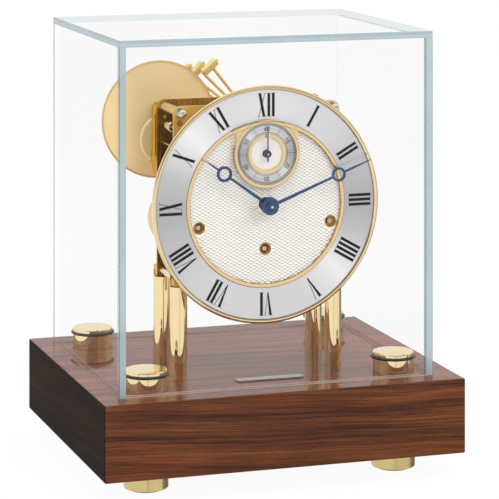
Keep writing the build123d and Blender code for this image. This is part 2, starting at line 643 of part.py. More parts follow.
def hour_wheel():
    teeth, _, module = HOUR_PAIR
    y0, y1 = -46.0, -44.6
    wheel = cut(gear(CENTRE, y0, y1, teeth, module, MINUTE_STUD),
                windows(CENTRE, y0, y1, 4.4, 8.2, 4, 1.6))
    return cut(fuse(cyl_y(CENTRE, -63.65, -44.0, 3.2), wheel), cyl_y(CENTRE, -70, -40, 2.29))


def minute_wheel():
    teeth, _, module = MINUTE_PAIR
    _, pinion_teeth, pinion_module = HOUR_PAIR
    y0, y1 = -42.8, -41.6
    wheel = cut(gear(MINUTE_STUD, y0, y1, teeth, module, CENTRE),
                windows(MINUTE_STUD, y0, y1, 3.4, 7.6, 4, 1.6))
    pinion = gear(MINUTE_STUD, -46.4, -42.7, pinion_teeth, pinion_module, CENTRE, PINION)
    return cut(fuse(wheel, pinion), cyl_y(MINUTE_STUD, -50, -40, 0.98))


def train_arbor(centre, driver, driven, pair_in, pair_out, pinion_y, wheel_y, **shaft):
    """An arbor with a pinion meeting its driver, and the wheel it carries."""
    _, pinion_teeth, pinion_module = pair_in
    teeth, _, module = pair_out
    pinion = gear(centre, *pinion_y, pinion_teeth, pinion_module, driver, PINION)
    return [arbor(centre, pinion, **shaft),
            spoked_wheel(centre, *wheel_y, teeth, module, driven)]


def intermediate_wheel():
    return train_arbor(INTERMEDIATE, TIME_KEY, CENTRE, TIME_GREAT, INTERMEDIATE_PAIR,
                       pinion_y=(-9.0, -4.9), wheel_y=(-2.9, -1.7))


def third_wheel():
    return train_arbor(THIRD, CENTRE, FOURTH, CENTRE_PAIR, THIRD_PAIR,
                       pinion_y=(-35.4, -32.6), wheel_y=(-27.0, -25.8))


def fourth_wheel():
    return train_arbor(FOURTH, THIRD, ESCAPE, THIRD_PAIR, FOURTH_PAIR,
                       pinion_y=(-28.0, -24.8), wheel_y=(-14.0, -12.8), front_tip=-61.6)


# ---------------------------------------------------------------- escapement
def escape_wheel():
    _, pinion_teeth, module = FOURTH_PAIR
    pinion = gear(ESCAPE, -15.0, -11.8, pinion_teeth, module, FOURTH, FINE_PINION)
    pitch, y0, y1 = 2 * math.pi / 15, 7.5, 8.1
    # one tooth, as (radius, fraction of the pitch)
    tooth = ((4.0, 0), (5.0, 0.62), (5.0, 0.74), (4.0, 0.72))
    outline = [polar(ESCAPE, r, (i + f) * pitch) for i in range(15) for r, f in tooth]
    return [arbor(ESCAPE, pinion, r=0.8, back=13.9, back_tip=15.4, pivot_r=0.45),
            cut(prism(outline, y0, y1), windows(ESCAPE, y0, y1, 1.6, 3.3, 4, 0.7),
                cyl_y(ESCAPE, 0, 10, 0.8))]


def pallet_lever():
    # upper half from the left arm to the fork, as (x, z) from the lever's centre
    upper = [(-2.7, 3.6), (-1.9, 3.9), (0.6, 1.0), (6.2, 0.5), (7.0, 1.0), (7.0, 0.45)]
    outline = upper + [(6.5, 0)] + [(x, -z) for x, z in upper[::-1]] + [(-0.9, 0)]
    outline = [(LEVER[0] + x, LEVER[1] + z) for x, z in outline]
    return fuse(prism(outline, 7.4, 8.0), cyl_y(LEVER, 4.6, 14.2, 0.45),
                cyl_y(LEVER, 3.4, 15.4, 0.22))


def balance_wheel():
    """Rim, two crossing bars, staff and roller, with twelve rim screws."""
    bars = [prism(turn(rect(-0.6, 0.6, -7.0, 7.0), a, BALANCE), 9.5, 10.3) for a in (0, 90)]
    body = fuse(ring_y(BALANCE, 9.4, 10.6, 7.5, 6.3), bars, cyl_y(BALANCE, 4.6, 14.2, 0.7),
                cyl_y(BALANCE, 3.4, 15.4, 0.25), cyl_y(BALANCE, 6.6, 7.2, 1.5))
    angles = [math.radians(15 + 30 * i) for i in range(12)]
    return fuse(body, [rod_at(10.0, polar(BALANCE, 7.3, a), polar(BALANCE, 8.2, a), 0.45)
                       for a in angles])


def hairspring():
    turns, segments, start_r, growth, half = 6, 20, 1.1, 4.0, 0.09
    count = turns * segments
    stations = [(start_r + growth * i / count, 2 * math.pi * i / segments)
                for i in range(count + 1)]
    outer = [polar(BALANCE, r + half, a) for r, a in stations]
    inner = [polar(BALANCE, r - half, a) for r, a in stations]
    return [prism(outer + inner[::-1], 12.0, 12.7), ring_y(BALANCE, 11.8, 12.9, 1.2, 0.7)]


def escapement_platform():
    """A plate on the back plate and a bridge on four posts behind it."""
    posts = ((11.2, 203.9), (11.2, 216.1), (41.4, 203.8), (41.4, 216.4))
    platform = round_edges(box(8.0, 44.5, BACK_OUT, 4.2, 200.5, 219.5), 1.5, 3.0)
    platform = cut(platform, cyl_y(ESCAPE, 0, 10, 1.5), cyl_y(LEVER, 3.2, 10, 0.3),
                   cyl_y(BALANCE, 3.2, 10, 0.33))
    bridge = round_edges(box(9.5, 43.0, 14.6, 16.0, 202.2, 217.8), 1.4, 3.0)
    bridge = cut(bridge, cyl_y(ESCAPE, 10, 20, 0.53), cyl_y(LEVER, 10, 20, 0.3),
                 cyl_y(BALANCE, 10, 20, 0.33), box(21, 29.5, 10, 20, 204.2, 208.0),
                 box(21, 29.5, 10, 20, 214.0, 216.0))
    return fuse(platform, [cyl_y(post, 4.0, 14.8, 1.3) for post in posts], bridge,
                [cyl_y(post, 16.0, 16.7, 1.5) for post in posts])


# ---------------------------------------------------------------- barrels and winding
def barrel(key, mate, y0, y1, end):
    """A great wheel from y0 to y1 and a drum reaching from it to its closed end."""
    way, rim = (1, y0 + 0.1) if end < y0 else (-1, y1 - 0.1)
    drum = lathe_y(key, [(3.0, end), (20.0, end), (20.3, end + way * 0.3), (20.3, rim),
                         (18.8, rim), (18.8, end + way * 1.4), (3.0, end + way * 1.4)])
    teeth, _, module = TIME_GREAT
    great = cut(gear(key, y0, y1, teeth, module, mate), cyl_y(key, y0 - 1, y1 + 1, 3.0))
    return fuse(drum, great)


def winding_arbor(key):
    """The arbor with its winding square in front and its ratchet at the back."""
    x, z = key
    square = box(x - 1.7, x + 1.7, -53.4, -38.2, z - 1.7, z + 1.7)
    taper = [(0, -30), (2.2, -30), (2.2, -52.6), (1.5, -53.4), (0, -53.4)]
    square = one(square.intersect(lathe_y(key, taper)))
    pitch = 2 * math.pi / 24
    ratchet = [polar(key, r, (i + f) * pitch)
               for i in range(24) for r, f in ((8.6, 0), (10.0, 0.9))]
    return fuse(cyl_y(key, -36.0, 0.5, 2.92), cyl_y(key, -38.4, -35.8, 2.5),
                cyl_y(key, 0.3, 3.1, 2.5), square, prism(ratchet, 3.0, 4.8),
                hexagon(key, 3.6, 4.7, 6.8))


def click(key):
    y0, y1 = 3.1, 4.7
    pivot = (key[0], key[1] + CLICK_RISE)
    tip = polar(key, 10.9, math.radians(125))
    tail = (pivot[0] + 4.2, pivot[1] + 3.2)
    arms = [prism(stroke(pivot, end, 1.0), y0, y1) for end in (tip, tail)]
    return cut(fuse(cyl_y(pivot, y0, y1, 2.4), arms), cyl_y(pivot, 0, 10, 1.08))


# ---------------------------------------------------------------- strike and chime trains
def side_second_wheel(key, second, third, fly):
    """The second wheel; the chime arbor runs on to the back to carry its drum."""
    _, pinion_teeth, pinion_module = SIDE_GREAT
    teeth, _, module = SIDE_SECOND
    pinion = gear(second, -22.5, -18.0, pinion_teeth, pinion_module, key, PINION)
    if second == CHIME_SECOND:
        shaft = fuse(cyl_y(second, -35.9, 0.4, 1.0), cyl_y(second, -38.0, -35.7, PIVOT_R),
                     cyl_y(second, 0.2, 78.9, 1.5), cyl_y(second, 78.7, 80.8, 1.0), pinion)
    else:
        shaft = arbor(second, pinion)
    return [shaft, spoked_wheel(second, -34.6, -33.4, teeth, module, third)]


def side_third_wheel(key, second, third, fly):
    return train_arbor(third, second, fly, SIDE_SECOND, SIDE_THIRD,
                       pinion_y=(-35.4, -32.6), wheel_y=(-3.6, -2.4))


def side_fly(key, second, third, fly):
    _, teeth, module = SIDE_THIRD
    reach, y0, y1 = 9.4, -20.0, -7.0
    x, z = fly
    shaft = arbor(fly, gear(fly, -4.6, -1.4, teeth, module, third, FINE_PINION), r=0.9)
    return fuse(shaft, box(x - reach, x + reach, y0, y1, z - 0.3, z + 0.3),
                cyl_y(fly, y0, y1, 1.7))


def chime_drum():
    """A drum of four bands, one behind each hammer, with eight pins to a band."""
    bands = [y for _, y in BELL_SET]
    middles = [(y0 + y1) / 2 for y0, y1 in zip(bands, bands[1:])]
    drum = cut(ring_y(CHIME_SECOND, 24.0, 77.0, 8.0, 1.5),
               [ring_y(CHIME_SECOND, y - 0.5, y + 0.5, 9.0, 7.5) for y in middles])
    pins = []
    for k, y in enumerate(bands):
        for i in range(8):
            angle = 2 * math.pi * (i / 8 + k * 0.031)
            pins.append(rod_at(y, polar(CHIME_SECOND, 7.6, angle),
                               polar(CHIME_SECOND, DRUM_PIN_TIP_R, angle), DRUM_PIN_R))
    return fuse(drum, pins)


# ---------------------------------------------------------------- hammers and bells
HAMMER_OFFSET = -1.5


def hammer(bell_r, bell_y):
    """A hammer resting off the bell's rim, with a tail reaching to the drum pins."""
    y = bell_y + HAMMER_OFFSET
    outward = (0.7197, 0.6943)
    tip = along(BELL, outward, bell_r + 3.3)
    (arm_x, arm_z), _ = unit(HAMMER_PIVOT, along(tip, outward, 6.6))
    axis = (arm_z, -arm_x)  # the head lies square to this line

    def head_rod(start, end, r):
        return rod_at(y, along(tip, axis, start), along(tip, axis, end), r)

    head = fuse(head_rod(1.2, 13.1, 3.1), head_rod(0, 1.4, 1.7), head_rod(12.9, 14.6, 1.1))
    arm = rod_at(y, HAMMER_PIVOT, along(tip, axis, 8.6), 1.1)
    way, distance = unit(HAMMER_PIVOT, CHIME_SECOND)
    tail_end = along(HAMMER_PIVOT, way, distance - DRUM_PIN_TIP_R - DRUM_PIN_R)
    tail = rod_at(y, HAMMER_PIVOT, tail_end, 0.8)
    return cut(fuse(cyl_y(HAMMER_PIVOT, y - 2.2, y + 2.2, 3.0), arm, tail, head),
               cyl_y(HAMMER_PIVOT, y - 5, y + 5, 1.58))


def bell_depth(bell_r):
    return 0.45 * bell_r


def bell(r, y):
    """A spherical cup with a short lip, its mouth facing back at y."""
    depth = bell_depth(r)
    sphere_r = (r * r + depth * depth) / (2 * depth)
    sphere_y = y - depth + sphere_r

    def on_sphere(radius, at):
        return Vector(at, sphere_y - math.sqrt(radius * radius - at * at), 0)

    outer = [on_sphere(sphere_r, at) for at in (2.45, r * 0.55, r - 0.9)]
    inner = [on_sphere(sphere_r - BELL_WALL, at) for at in (r - 0.9 - BELL_WALL, r * 0.5, 2.45)]
    lip = [outer[2], Vector(r + 0.35, y - 1.3, 0), Vector(r + 0.35, y, 0),
           Vector(r - BELL_WALL, y, 0), inner[0]]
    edges = [Edge.make_three_point_arc(*outer),
             *[Edge.make_line(start, end) for start, end in zip(lip, lip[1:])],
             Edge.make_three_point_arc(*inner), Edge.make_line(inner[2], outer[0])]
    cup = Solid.revolve(Face(Wire(edges)), 360, Axis.Y)
    return cup.moved(Location((BELL[0], 0, BELL[1])))


def bells():
    return [bell(r, y) for r, y in BELL_SET]


def bell_bracket():
    """Upright bar, bent rod, disc and stepped post, with a separate stub below."""
    bore = cyl_y(BELL, 0, 20, 2.45)
    bar = round_edges(box(-58.9, -43.5, 9.0, 11.6, 207.5, 239.6), 2.6, 4.0, above=230)
    bar = bar.fillet(0.9, [e for e in bar.edges() if e.center().X < -58 or e.center().Z > 239])
    bar = cut(bar, bore)
    path = [(-58.6, 5.2, 203.5), (-58.6, 5.2, 230.2), (-56.8, 9.9, 236.2), (-46.0, 9.9, 236.2)]
    bent = fuse([rod(start, end, 2.0) for start, end in zip(path, path[1:])],
                [Solid.make_sphere(2.0, Plane(origin=p), -90, 90, 360) for p in path[1:3]])
    disc = lathe_y((-51.2, 214.2), [(0, 6.9), (15.8, 6.9), (16.9, 7.4), (17.2, 8.2),
                                    (16.9, 8.8), (16.0, 9.0), (0, 9.0)])
    disc = cut(disc, bore)
    post_xy = (-55.4, 9.2)
    post = fuse(cyl_z(post_xy, 199.0, 206.6, 5.8), cyl_z(post_xy, 195.0, 199.1, 3.8))
    arm = box(-52.0, -46.0, BACK_OUT, 9.2, 196.0, 204.0)
    block = box(-56.5, -45.5, 7.2, 11.6, 195.5, 205.0)
    return [fuse(bar, bent, disc, post, block, arm), cyl_z(post_xy, 191.4, 195.0, 3.3)]


def hammer_frame():
    """The rear plate for the drum and hammer spindle, on two legs."""
    outline = [(14.0, 228.0), (22.4, 228.0), (35.0, 208.0), (52.0, 208.5), (59.5, 205.0),
               (58.5, 198.0), (49.0, 182.0), (39.0, 182.0), (4.0, 190.0), (2.0, 198.0)]
    opening = [(17.5, 214), (20.5, 214), (29.0, 200), (10.5, 199.5)]
    legs = ((7.0, 195.5), (54.5, 203.0))
    plate = cut(prism(outline, 79.0, 81.0), cyl_y(CHIME_SECOND, 78, 82, 1.08),
                cyl_y(HAMMER_PIVOT, 78, 82, 1.05), prism(opening, 78, 82))
    return fuse(plate, [cyl_y(leg, BACK_OUT, 79.2, 2.2) for leg in legs],
                [hexagon(leg, 3.2, 81.0, 83.0) for leg in legs])


def bell_and_hammer_spindles():
    """Both spindles, and a loose collar on each side of every hammer."""
    collars = []
    for k, (r, y) in enumerate(BELL_SET):
        crown = y - bell_depth(r)
        collars.append(cyl_y(BELL, crown + BELL_WALL + 0.5, crown + BELL_WALL + 3.2, 4.6))
        if k:
            collars.append(cyl_y(BELL, crown - 2.4, crown - 0.02, 2.9))
    hammer_spindle = fuse(cyl_y(HAMMER_PIVOT, BACK_OUT, 79.0, 1.5),
                          cyl_y(HAMMER_PIVOT, 78.8, 81.0, 1.0),
                          cyl_y(HAMMER_PIVOT, BACK_OUT, 6.0, 3.2))
    washers = [y + HAMMER_OFFSET + side * 2.7 for _, y in BELL_SET for side in (-1, 1)]
    return [fuse(cyl_y(BELL, BACK_OUT, 77.0, 2.4), collars), hammer_spindle,
            [ring_y(HAMMER_PIVOT, y - 0.4, y + 0.4, 2.6, 1.5) for y in washers]]


# ---------------------------------------------------------------- one file per piece
def save(name, shape):
    export_step(one(shape), f"parts/{name}.step")


for piece in (
        base_block, feet, foot_pads, corner_posts, post_o_rings, base_bolts, name_plate,
        glass_walls, glass_lid, columns, front_plate, back_plate, plate_pillars, pillar_nuts,
        dial_plate, dial_bezel, chapter_ring, dial_centre, dial_inner_ring, seconds_ring,
        winding_sleeves, dial_markings, hour_hand, minute_hand, seconds_hand, centre_arbor,
        hour_wheel, minute_wheel, intermediate_wheel, third_wheel, fourth_wheel,
        escape_wheel, pallet_lever, balance_wheel, hairspring, escapement_platform,
        chime_drum, bells, bell_bracket, hammer_frame, bell_and_hammer_spindles):
    save(piece.__name__, piece())

# train: key arbor, arbor it drives, great wheel span, closed end of the drum
for train, key, mate, great_y, drum_end in (
        ("time", TIME_KEY, INTERMEDIATE, (-8.0, -5.5), -31.0),
        ("strike", STRIKE_KEY, STRIKE[1], (-21.5, -19.0), -3.4),
        ("chime", CHIME_KEY, CHIME_SECOND, (-21.5, -19.0), -3.4)):
    save(f"{train}_barrel", barrel(key, mate, *great_y, drum_end))
    save(f"{train}_winding_arbor", winding_arbor(key))
    save(f"{train}_click", click(key))

for train, centres in (("strike", STRIKE), ("chime", CHIME)):
    save(f"{train}_second_wheel", side_second_wheel(*centres))
    save(f"{train}_third_wheel", side_third_wheel(*centres))
    save(f"{train}_fly", side_fly(*centres))

for number, (bell_r, bell_y) in enumerate(BELL_SET, start=1):
    save(f"hammer_{number}", hammer(bell_r, bell_y))
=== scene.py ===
import math

import bpy
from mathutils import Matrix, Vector

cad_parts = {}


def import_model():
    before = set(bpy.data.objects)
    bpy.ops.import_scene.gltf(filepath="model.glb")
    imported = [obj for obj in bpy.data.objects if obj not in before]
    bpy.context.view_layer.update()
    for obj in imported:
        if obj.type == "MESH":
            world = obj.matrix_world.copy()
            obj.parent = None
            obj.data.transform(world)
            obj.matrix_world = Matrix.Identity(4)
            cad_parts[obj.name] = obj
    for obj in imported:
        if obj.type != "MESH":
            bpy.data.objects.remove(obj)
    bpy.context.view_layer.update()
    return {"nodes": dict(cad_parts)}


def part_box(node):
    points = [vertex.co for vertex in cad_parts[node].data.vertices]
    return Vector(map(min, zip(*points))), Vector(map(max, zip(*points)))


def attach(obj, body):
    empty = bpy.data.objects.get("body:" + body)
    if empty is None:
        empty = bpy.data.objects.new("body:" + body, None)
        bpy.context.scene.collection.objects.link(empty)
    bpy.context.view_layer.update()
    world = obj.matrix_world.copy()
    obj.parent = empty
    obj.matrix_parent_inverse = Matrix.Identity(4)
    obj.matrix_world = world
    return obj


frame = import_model()
nodes = frame["nodes"]
scene = bpy.context.scene
scene.view_settings.view_transform = "Standard"
scene.view_settings.look = "None"
scene.view_settings.exposure = 0.0
scene.view_settings.gamma = 1.0
MM = 0.001
DIAL = (0.0, 0.1775)
SUB = (0.0, 0.2110)


# ---------------------------------------------------------------- node helpers
class Tree:
    """A small wrapper that builds a node tree; sockets and numbers can both be given as inputs."""

    def __init__(self, owner):
        owner.use_nodes = True
        self.nt = owner.node_tree
        self.nt.nodes.clear()

    def add(self, kind, inputs=None, **props):
        n = self.nt.nodes.new(kind)
        for k, v in props.items():
            setattr(n, k, v)
        for k, v in (inputs or {}).items():
            self.put(n.inputs[k], v)
        return n

    def put(self, socket, v):
        if isinstance(v, bpy.types.NodeSocket):
            self.nt.links.new(v, socket)
        elif isinstance(v, (tuple, list)) and socket.type == "RGBA" and len(v) == 3:
            socket.default_value = (*v, 1.0)
        else:
            socket.default_value = v

    def math(self, op, a, b=0.0, c=None, clamp=False):
        n = self.add("ShaderNodeMath", operation=op, use_clamp=clamp)
        self.put(n.inputs[0], a)
        self.put(n.inputs[1], b)
        if c is not None:
            self.put(n.inputs[2], c)
        return n.outputs[0]

    def xyz(self, v):
        n = self.add("ShaderNodeSeparateXYZ", {"Vector": v})
        return n.outputs[0], n.outputs[1], n.outputs[2]

    def vec(self, x, y, z):
        return self.add("ShaderNodeCombineXYZ", {"X": x, "Y": y, "Z": z}).outputs[0]

    def noise(self, v, scale, detail=2.0, rough=0.5, distortion=0.0):
        return self.add("ShaderNodeTexNoise", {"Vector": v, "Scale": scale, "Detail": detail, "Roughness": rough, "Distortion": distortion}).outputs["Fac"]

    def ramp(self, fac, stops, interpolation="LINEAR"):
        n = self.add("ShaderNodeValToRGB", {"Fac": fac})
        r = n.color_ramp
        r.interpolation = interpolation
        while len(r.elements) > 1:
            r.elements.remove(r.elements[0])
        for i, (p, c) in enumerate(stops):
            e = r.elements[0] if i == 0 else r.elements.new(p)
            e.position = p
            e.color = (c, c, c, 1.0) if isinstance(c, (int, float)) else (*c, 1.0)
        return n.outputs["Color"]

    def mix(self, fac, a, b, blend="MIX"):
        n = self.add("ShaderNodeMix", data_type="RGBA", blend_type=blend)
        self.put(n.inputs[0], fac)
        self.put(n.inputs[6], a)
        self.put(n.inputs[7], b)
        return n.outputs[2]

    def remap(self, v, a, b, c, d, smooth=False):
        n = self.add("ShaderNodeMapRange", {"Value": v, "From Min": a, "From Max": b, "To Min": c, "To Max": d})
        if smooth:
            n.interpolation_type = "SMOOTHSTEP"
        return n.outputs[0]

    def bump(self, height, strength, distance):
        return self.add("ShaderNodeBump", {"Height": height, "Strength": strength, "Distance": distance}).outputs[0]


def srgb(r, g, b):
    return tuple((v / 255 / 12.92) if v / 255 <= 0.04045 else ((v / 255 + 0.055) / 1.055) ** 2.4 for v in (r, g, b))


def material(name):
    m = bpy.data.materials.new(name)
    t = Tree(m)
    t.m = m
    t.out = t.add("ShaderNodeOutputMaterial")
    t.obj = t.add("ShaderNodeTexCoord").outputs["Object"]
    return t


def principled(t, **inputs):
    n = t.add("ShaderNodeBsdfPrincipled", {k.replace("_", " "): v for k, v in inputs.items()})
    t.nt.links.new(n.outputs[0], t.out.inputs["Surface"])
    return n


# ---------------------------------------------------------------- metals
def polished(name, col, tint, rough=0.06, wave=0.02, metallic=1.0, fine=0.35):
    """Lacquered or polished metal: faint colour clouding, uneven roughness, fine wipe marks and a very slight waviness."""
    t = material(name)
    cloud = t.noise(t.obj, 45.0, 3.0)
    fleck = t.noise(t.obj, 900.0, 2.0)
    x, y, z = t.xyz(t.obj)
    wipe = t.noise(t.vec(t.math("MULTIPLY", x, 500.0), t.math("MULTIPLY", y, 500.0), t.math("MULTIPLY", z, 5200.0)), 1.0, 2.0)
    c = t.mix(t.remap(cloud, 0.3, 0.7, 0.0, 1.0), col, tint)
    r = t.math("ADD", t.remap(cloud, 0.3, 0.7, rough * 0.7, rough * 1.4), t.remap(fleck, 0.6, 0.8, 0.0, rough * fine))
    h = t.math("ADD", t.math("MULTIPLY", cloud, wave), t.math("MULTIPLY", wipe, 0.00015))
    principled(t, Base_Color=c, Metallic=metallic, Roughness=r, Normal=t.bump(h, 0.3, 0.002))
    return t.m


def brushed(name, col, tint, rough=0.3, along="Z", depth=0.5, metallic=1.0):
    """Straight-grained metal: long fine lines along one axis."""
    t = material(name)
    x, y, z = t.xyz(t.obj)
    k = {"X": (60, 3000, 3000), "Y": (3000, 60, 3000), "Z": (3000, 3000, 60)}[along]
    v = t.vec(t.math("MULTIPLY", x, k[0]), t.math("MULTIPLY", y, k[1]), t.math("MULTIPLY", z, k[2]))
    line = t.noise(v, 1.0, 4.0, 0.6)
    cloud = t.noise(t.obj, 30.0, 3.0)
    c = t.mix(t.remap(line, 0.3, 0.7, 0.0, 1.0), col, tint)
    c = t.mix(t.remap(cloud, 0.35, 0.65, 0.0, 0.35), c, tint)
    principled(t, Base_Color=c, Metallic=metallic, Roughness=t.remap(line, 0.3, 0.7, rough * 0.75, rough * 1.25), Normal=t.bump(line, depth, 0.00005))
    return t.m


def dark_lines(t, c, lines, shade):
    """Thin dark circles, each (centre, radius, half width, strength): painted shade where a turned edge or step catches
    less light, and also printed track lines.
    """
    x, y, z = t.xyz(t.obj)
    for (cx, cz), radius, width, strength in lines:
        dx, dz = t.math("SUBTRACT", x, cx), t.math("SUBTRACT", z, cz)
        r = t.math("SQRT", t.math("ADD", t.math("MULTIPLY", dx, dx), t.math("MULTIPLY", dz, dz)))
        off = t.math("ABSOLUTE", t.math("SUBTRACT", r, radius * MM))
        c = t.mix(t.remap(off, width * 0.5 * MM, width * 1.2 * MM, strength, 0.0), c, shade)
    return c


def spun(name, col, tint, centre, rough=0.35, depth=0.3, freq=2600.0, metallic=1.0, lines=()):
    """Turned metal: fine circles about a Y axis through centre (x, z)."""
    t = material(name)
    x, y, z = t.xyz(t.obj)
    dx, dz = t.math("SUBTRACT", x, centre[0]), t.math("SUBTRACT", z, centre[1])
    r = t.math("SQRT", t.math("ADD", t.math("MULTIPLY", dx, dx), t.math("MULTIPLY", dz, dz)))
    a = t.math("ARCTAN2", dx, dz)
    line = t.noise(t.vec(t.math("MULTIPLY", r, freq), t.math("MULTIPLY", y, freq), t.math("MULTIPLY", t.math("COSINE", a), 3.0)), 1.0, 3.0, 0.6)
    cloud = t.noise(t.obj, 28.0, 3.0)
    c = t.mix(t.remap(line, 0.3, 0.7, 0.0, 1.0), col, tint)
    c = t.mix(t.remap(cloud, 0.35, 0.65, 0.0, 0.3), c, tint)
    # painted shade: thin dark circles at turned edges and steps
    c = dark_lines(t, c, lines, (0.20, 0.10, 0.03))
    principled(t, Base_Color=c, Metallic=metallic, Roughness=t.remap(line, 0.3, 0.7, rough * 0.85, rough * 1.15), Normal=t.bump(line, depth, 0.00004))
    return t.m


BRASS = polished("polished_brass", (0.94, 0.765, 0.45), (0.92, 0.735, 0.41), rough=0.045, wave=0.01)
FOOT_BRASS = polished("foot_brass", (0.62, 0.51, 0.235), (0.58, 0.465, 0.20), rough=0.2)
DEEP_BRASS = polished("bracket_brass", (0.66, 0.37, 0.035), (0.58, 0.31, 0.025), rough=0.10)
PALE_BRASS = polished("pillar_brass", (0.86, 0.78, 0.58), (0.80, 0.70, 0.50), rough=0.16)
WHEEL_BRASS = spun("wheel_brass", (0.86, 0.63, 0.27), (0.78, 0.55, 0.22), DIAL, rough=0.22)
def bell_satin():
    """Satin-lacquered dome: turned lines, with painted shade on the upward-facing part and in a ring part way out from
    the axis, painted light on the left-facing side, and a painted glow (emission) on the downward- and left-facing
    parts.
    """
    t = material("bell_satin_brass")
    x, y, z = t.xyz(t.obj)
    nx, ny, nz = t.xyz(t.add("ShaderNodeNewGeometry").outputs["Normal"])
    dx, dz = t.math("SUBTRACT", x, -0.0491), t.math("SUBTRACT", z, 0.2250)
    r = t.math("SQRT", t.math("ADD", t.math("MULTIPLY", dx, dx), t.math("MULTIPLY", dz, dz)))
    line = t.noise(t.vec(t.math("MULTIPLY", r, 1600.0), t.math("MULTIPLY", y, 1600.0), 0.5), 1.0, 3.0, 0.6)
    cloud = t.noise(t.obj, 28.0, 3.0)
    c = t.mix(t.remap(line, 0.3, 0.7, 0.0, 1.0), (0.86, 0.665, 0.34), (0.83, 0.63, 0.31))
    c = t.mix(t.remap(cloud, 0.35, 0.65, 0.0, 0.3), c, (0.83, 0.63, 0.31))
    # painted shade: parts that face up are mixed towards a duller brown
    c = t.mix(t.remap(nz, 0.05, 0.62, 0.0, 1.0, smooth=True), c, (0.63, 0.475, 0.245))
    # painted light: parts that face left are mixed towards a brighter brass
    c = t.mix(t.remap(nx, -0.75, -0.25, 0.55, 0.0, smooth=True), c, (0.95, 0.74, 0.36))
    # painted shade: a duller ring part way out from the axis, on the parts that face level or down
    painted_shade_ring = t.math("MULTIPLY", t.remap(r, 0.010, 0.019, 0.0, 1.0, smooth=True), t.remap(r, 0.019, 0.029, 1.0, 0.0, smooth=True))
    c = t.mix(t.math("MULTIPLY", painted_shade_ring, t.remap(nz, 0.0, 0.3, 0.35, 0.0, smooth=True)), c, (0.70, 0.52, 0.26))
    # painted glow: emission on the parts that face down and on those that face left
    painted_glow = t.remap(nz, -0.65, -0.05, 0.24, 0.0, smooth=True)
    painted_glow = t.math("ADD", painted_glow, t.remap(nx, -0.75, -0.20, 0.10, 0.0, smooth=True))
    principled(t, Base_Color=c, Metallic=0.42, Roughness=t.remap(line, 0.3, 0.7, 0.42, 0.56), Normal=t.bump(line, 0.12, 0.00004), Emission_Color=c, Emission_Strength=painted_glow)
    return t.m


BELL_BRASS = bell_satin()
# the lines on the bezel and the dial frame are painted shade at their edges and steps
BEZEL_BRASS = spun("bezel_brass", (0.93, 0.77, 0.47), (0.87, 0.69, 0.39), DIAL, rough=0.16, depth=0.3, lines=[(DIAL, 75.85, 0.28, 0.75), (DIAL, 77.75, 0.16, 0.22)])
FRAME_BRASS = spun("dial_frame_brass", (0.88, 0.70, 0.40), (0.82, 0.62, 0.32), SUB, rough=0.18, depth=0.2, lines=[(DIAL, 54.95, 0.25, 0.75), (DIAL, 52.5, 0.22, 0.55), (SUB, 22.5, 0.22, 0.5), (SUB, 20.6, 0.2, 0.45)])
PLATE_BRASS = brushed("plate_brushed_brass", (0.98, 0.655, 0.20), (0.92, 0.58, 0.16), rough=0.34, along="Z", metallic=0.5)
def inner_plate():
    """The faces between the two plates: brushed brass painted dark, as painted shade and painted reflection of the dark
    works it mostly sees, and lighter along the open top edge as painted light.
    """
    t = material("plate_inner_brass")
    x, y, z = t.xyz(t.obj)
    line = t.noise(t.vec(t.math("MULTIPLY", x, 900.0), t.math("MULTIPLY", y, 900.0), t.math("MULTIPLY", z, 40.0)), 1.0, 3.0, 0.6)
    cloud = t.noise(t.obj, 70.0, 3.0)
    # painted shade: these faces get a much darker brass than the outer plate faces
    c = t.mix(t.remap(line, 0.3, 0.7, 0.0, 1.0), (0.36, 0.19, 0.036), (0.27, 0.135, 0.024))
    c = t.mix(t.remap(cloud, 0.35, 0.65, 0.0, 0.6), c, (0.20, 0.095, 0.016))
    # painted light: a lighter strip along the open top edge
    c = t.mix(t.math("MULTIPLY", t.remap(z, 0.2350, 0.2385, 0.0, 1.0, smooth=True), t.remap(cloud, 0.35, 0.6, 1.0, 0.55)), c, (0.80, 0.42, 0.085))
    principled(t, Base_Color=c, Metallic=0.7, Roughness=t.remap(line, 0.3, 0.7, 0.2, 0.3), Normal=t.bump(line, 0.3, 0.00005))
    return t.m


SHADED_INNER_BRASS = inner_plate()
CUT_BRASS = polished("plate_edge_brass", (0.80, 0.56, 0.24), (0.66, 0.43, 0.16), rough=0.2, metallic=0.8)
DISC_BRASS = spun("bracket_disc_brass", (0.98, 0.79, 0.43), (0.93, 0.73, 0.37), (-0.0512, 0.2142), rough=0.46, depth=0.12, freq=1600.0, metallic=0.4)
HAMMER_BRASS = polished("hammer_brass", (0.90, 0.72, 0.32), (0.84, 0.65, 0.26), rough=0.26, metallic=0.5)
SLEEVE_BRASS = polished("sleeve_brass", (0.66, 0.43, 0.16), (0.56, 0.34, 0.11), rough=0.2, metallic=0.8)
STEEL = polished("polished_steel", (0.72, 0.70, 0.69), (0.60, 0.59, 0.60), rough=0.14)
BOLT = polished("bolt_steel", (0.60, 0.60, 0.61), (0.48, 0.48, 0.50), rough=0.25)
NICKEL = polished("satin_nickel", (0.80, 0.77, 0.73), (0.70, 0.67, 0.64), rough=0.2)
ARBOR = polished("arbor_steel", (0.66, 0.60, 0.54), (0.54, 0.48, 0.42), rough=0.3)
HAIR = polished("hairspring_blue_steel", (0.22, 0.30, 0.50), (0.16, 0.22, 0.40), rough=0.2)
BLUED = polished("blued_steel", (0.050, 0.096, 0.195), (0.040, 0.078, 0.165), rough=0.30, metallic=0.55)
NAMEPLATE = brushed("name_plate_grey", (0.44, 0.40, 0.39), (0.37, 0.33, 0.325), rough=0.33, along="X", metallic=0.75)


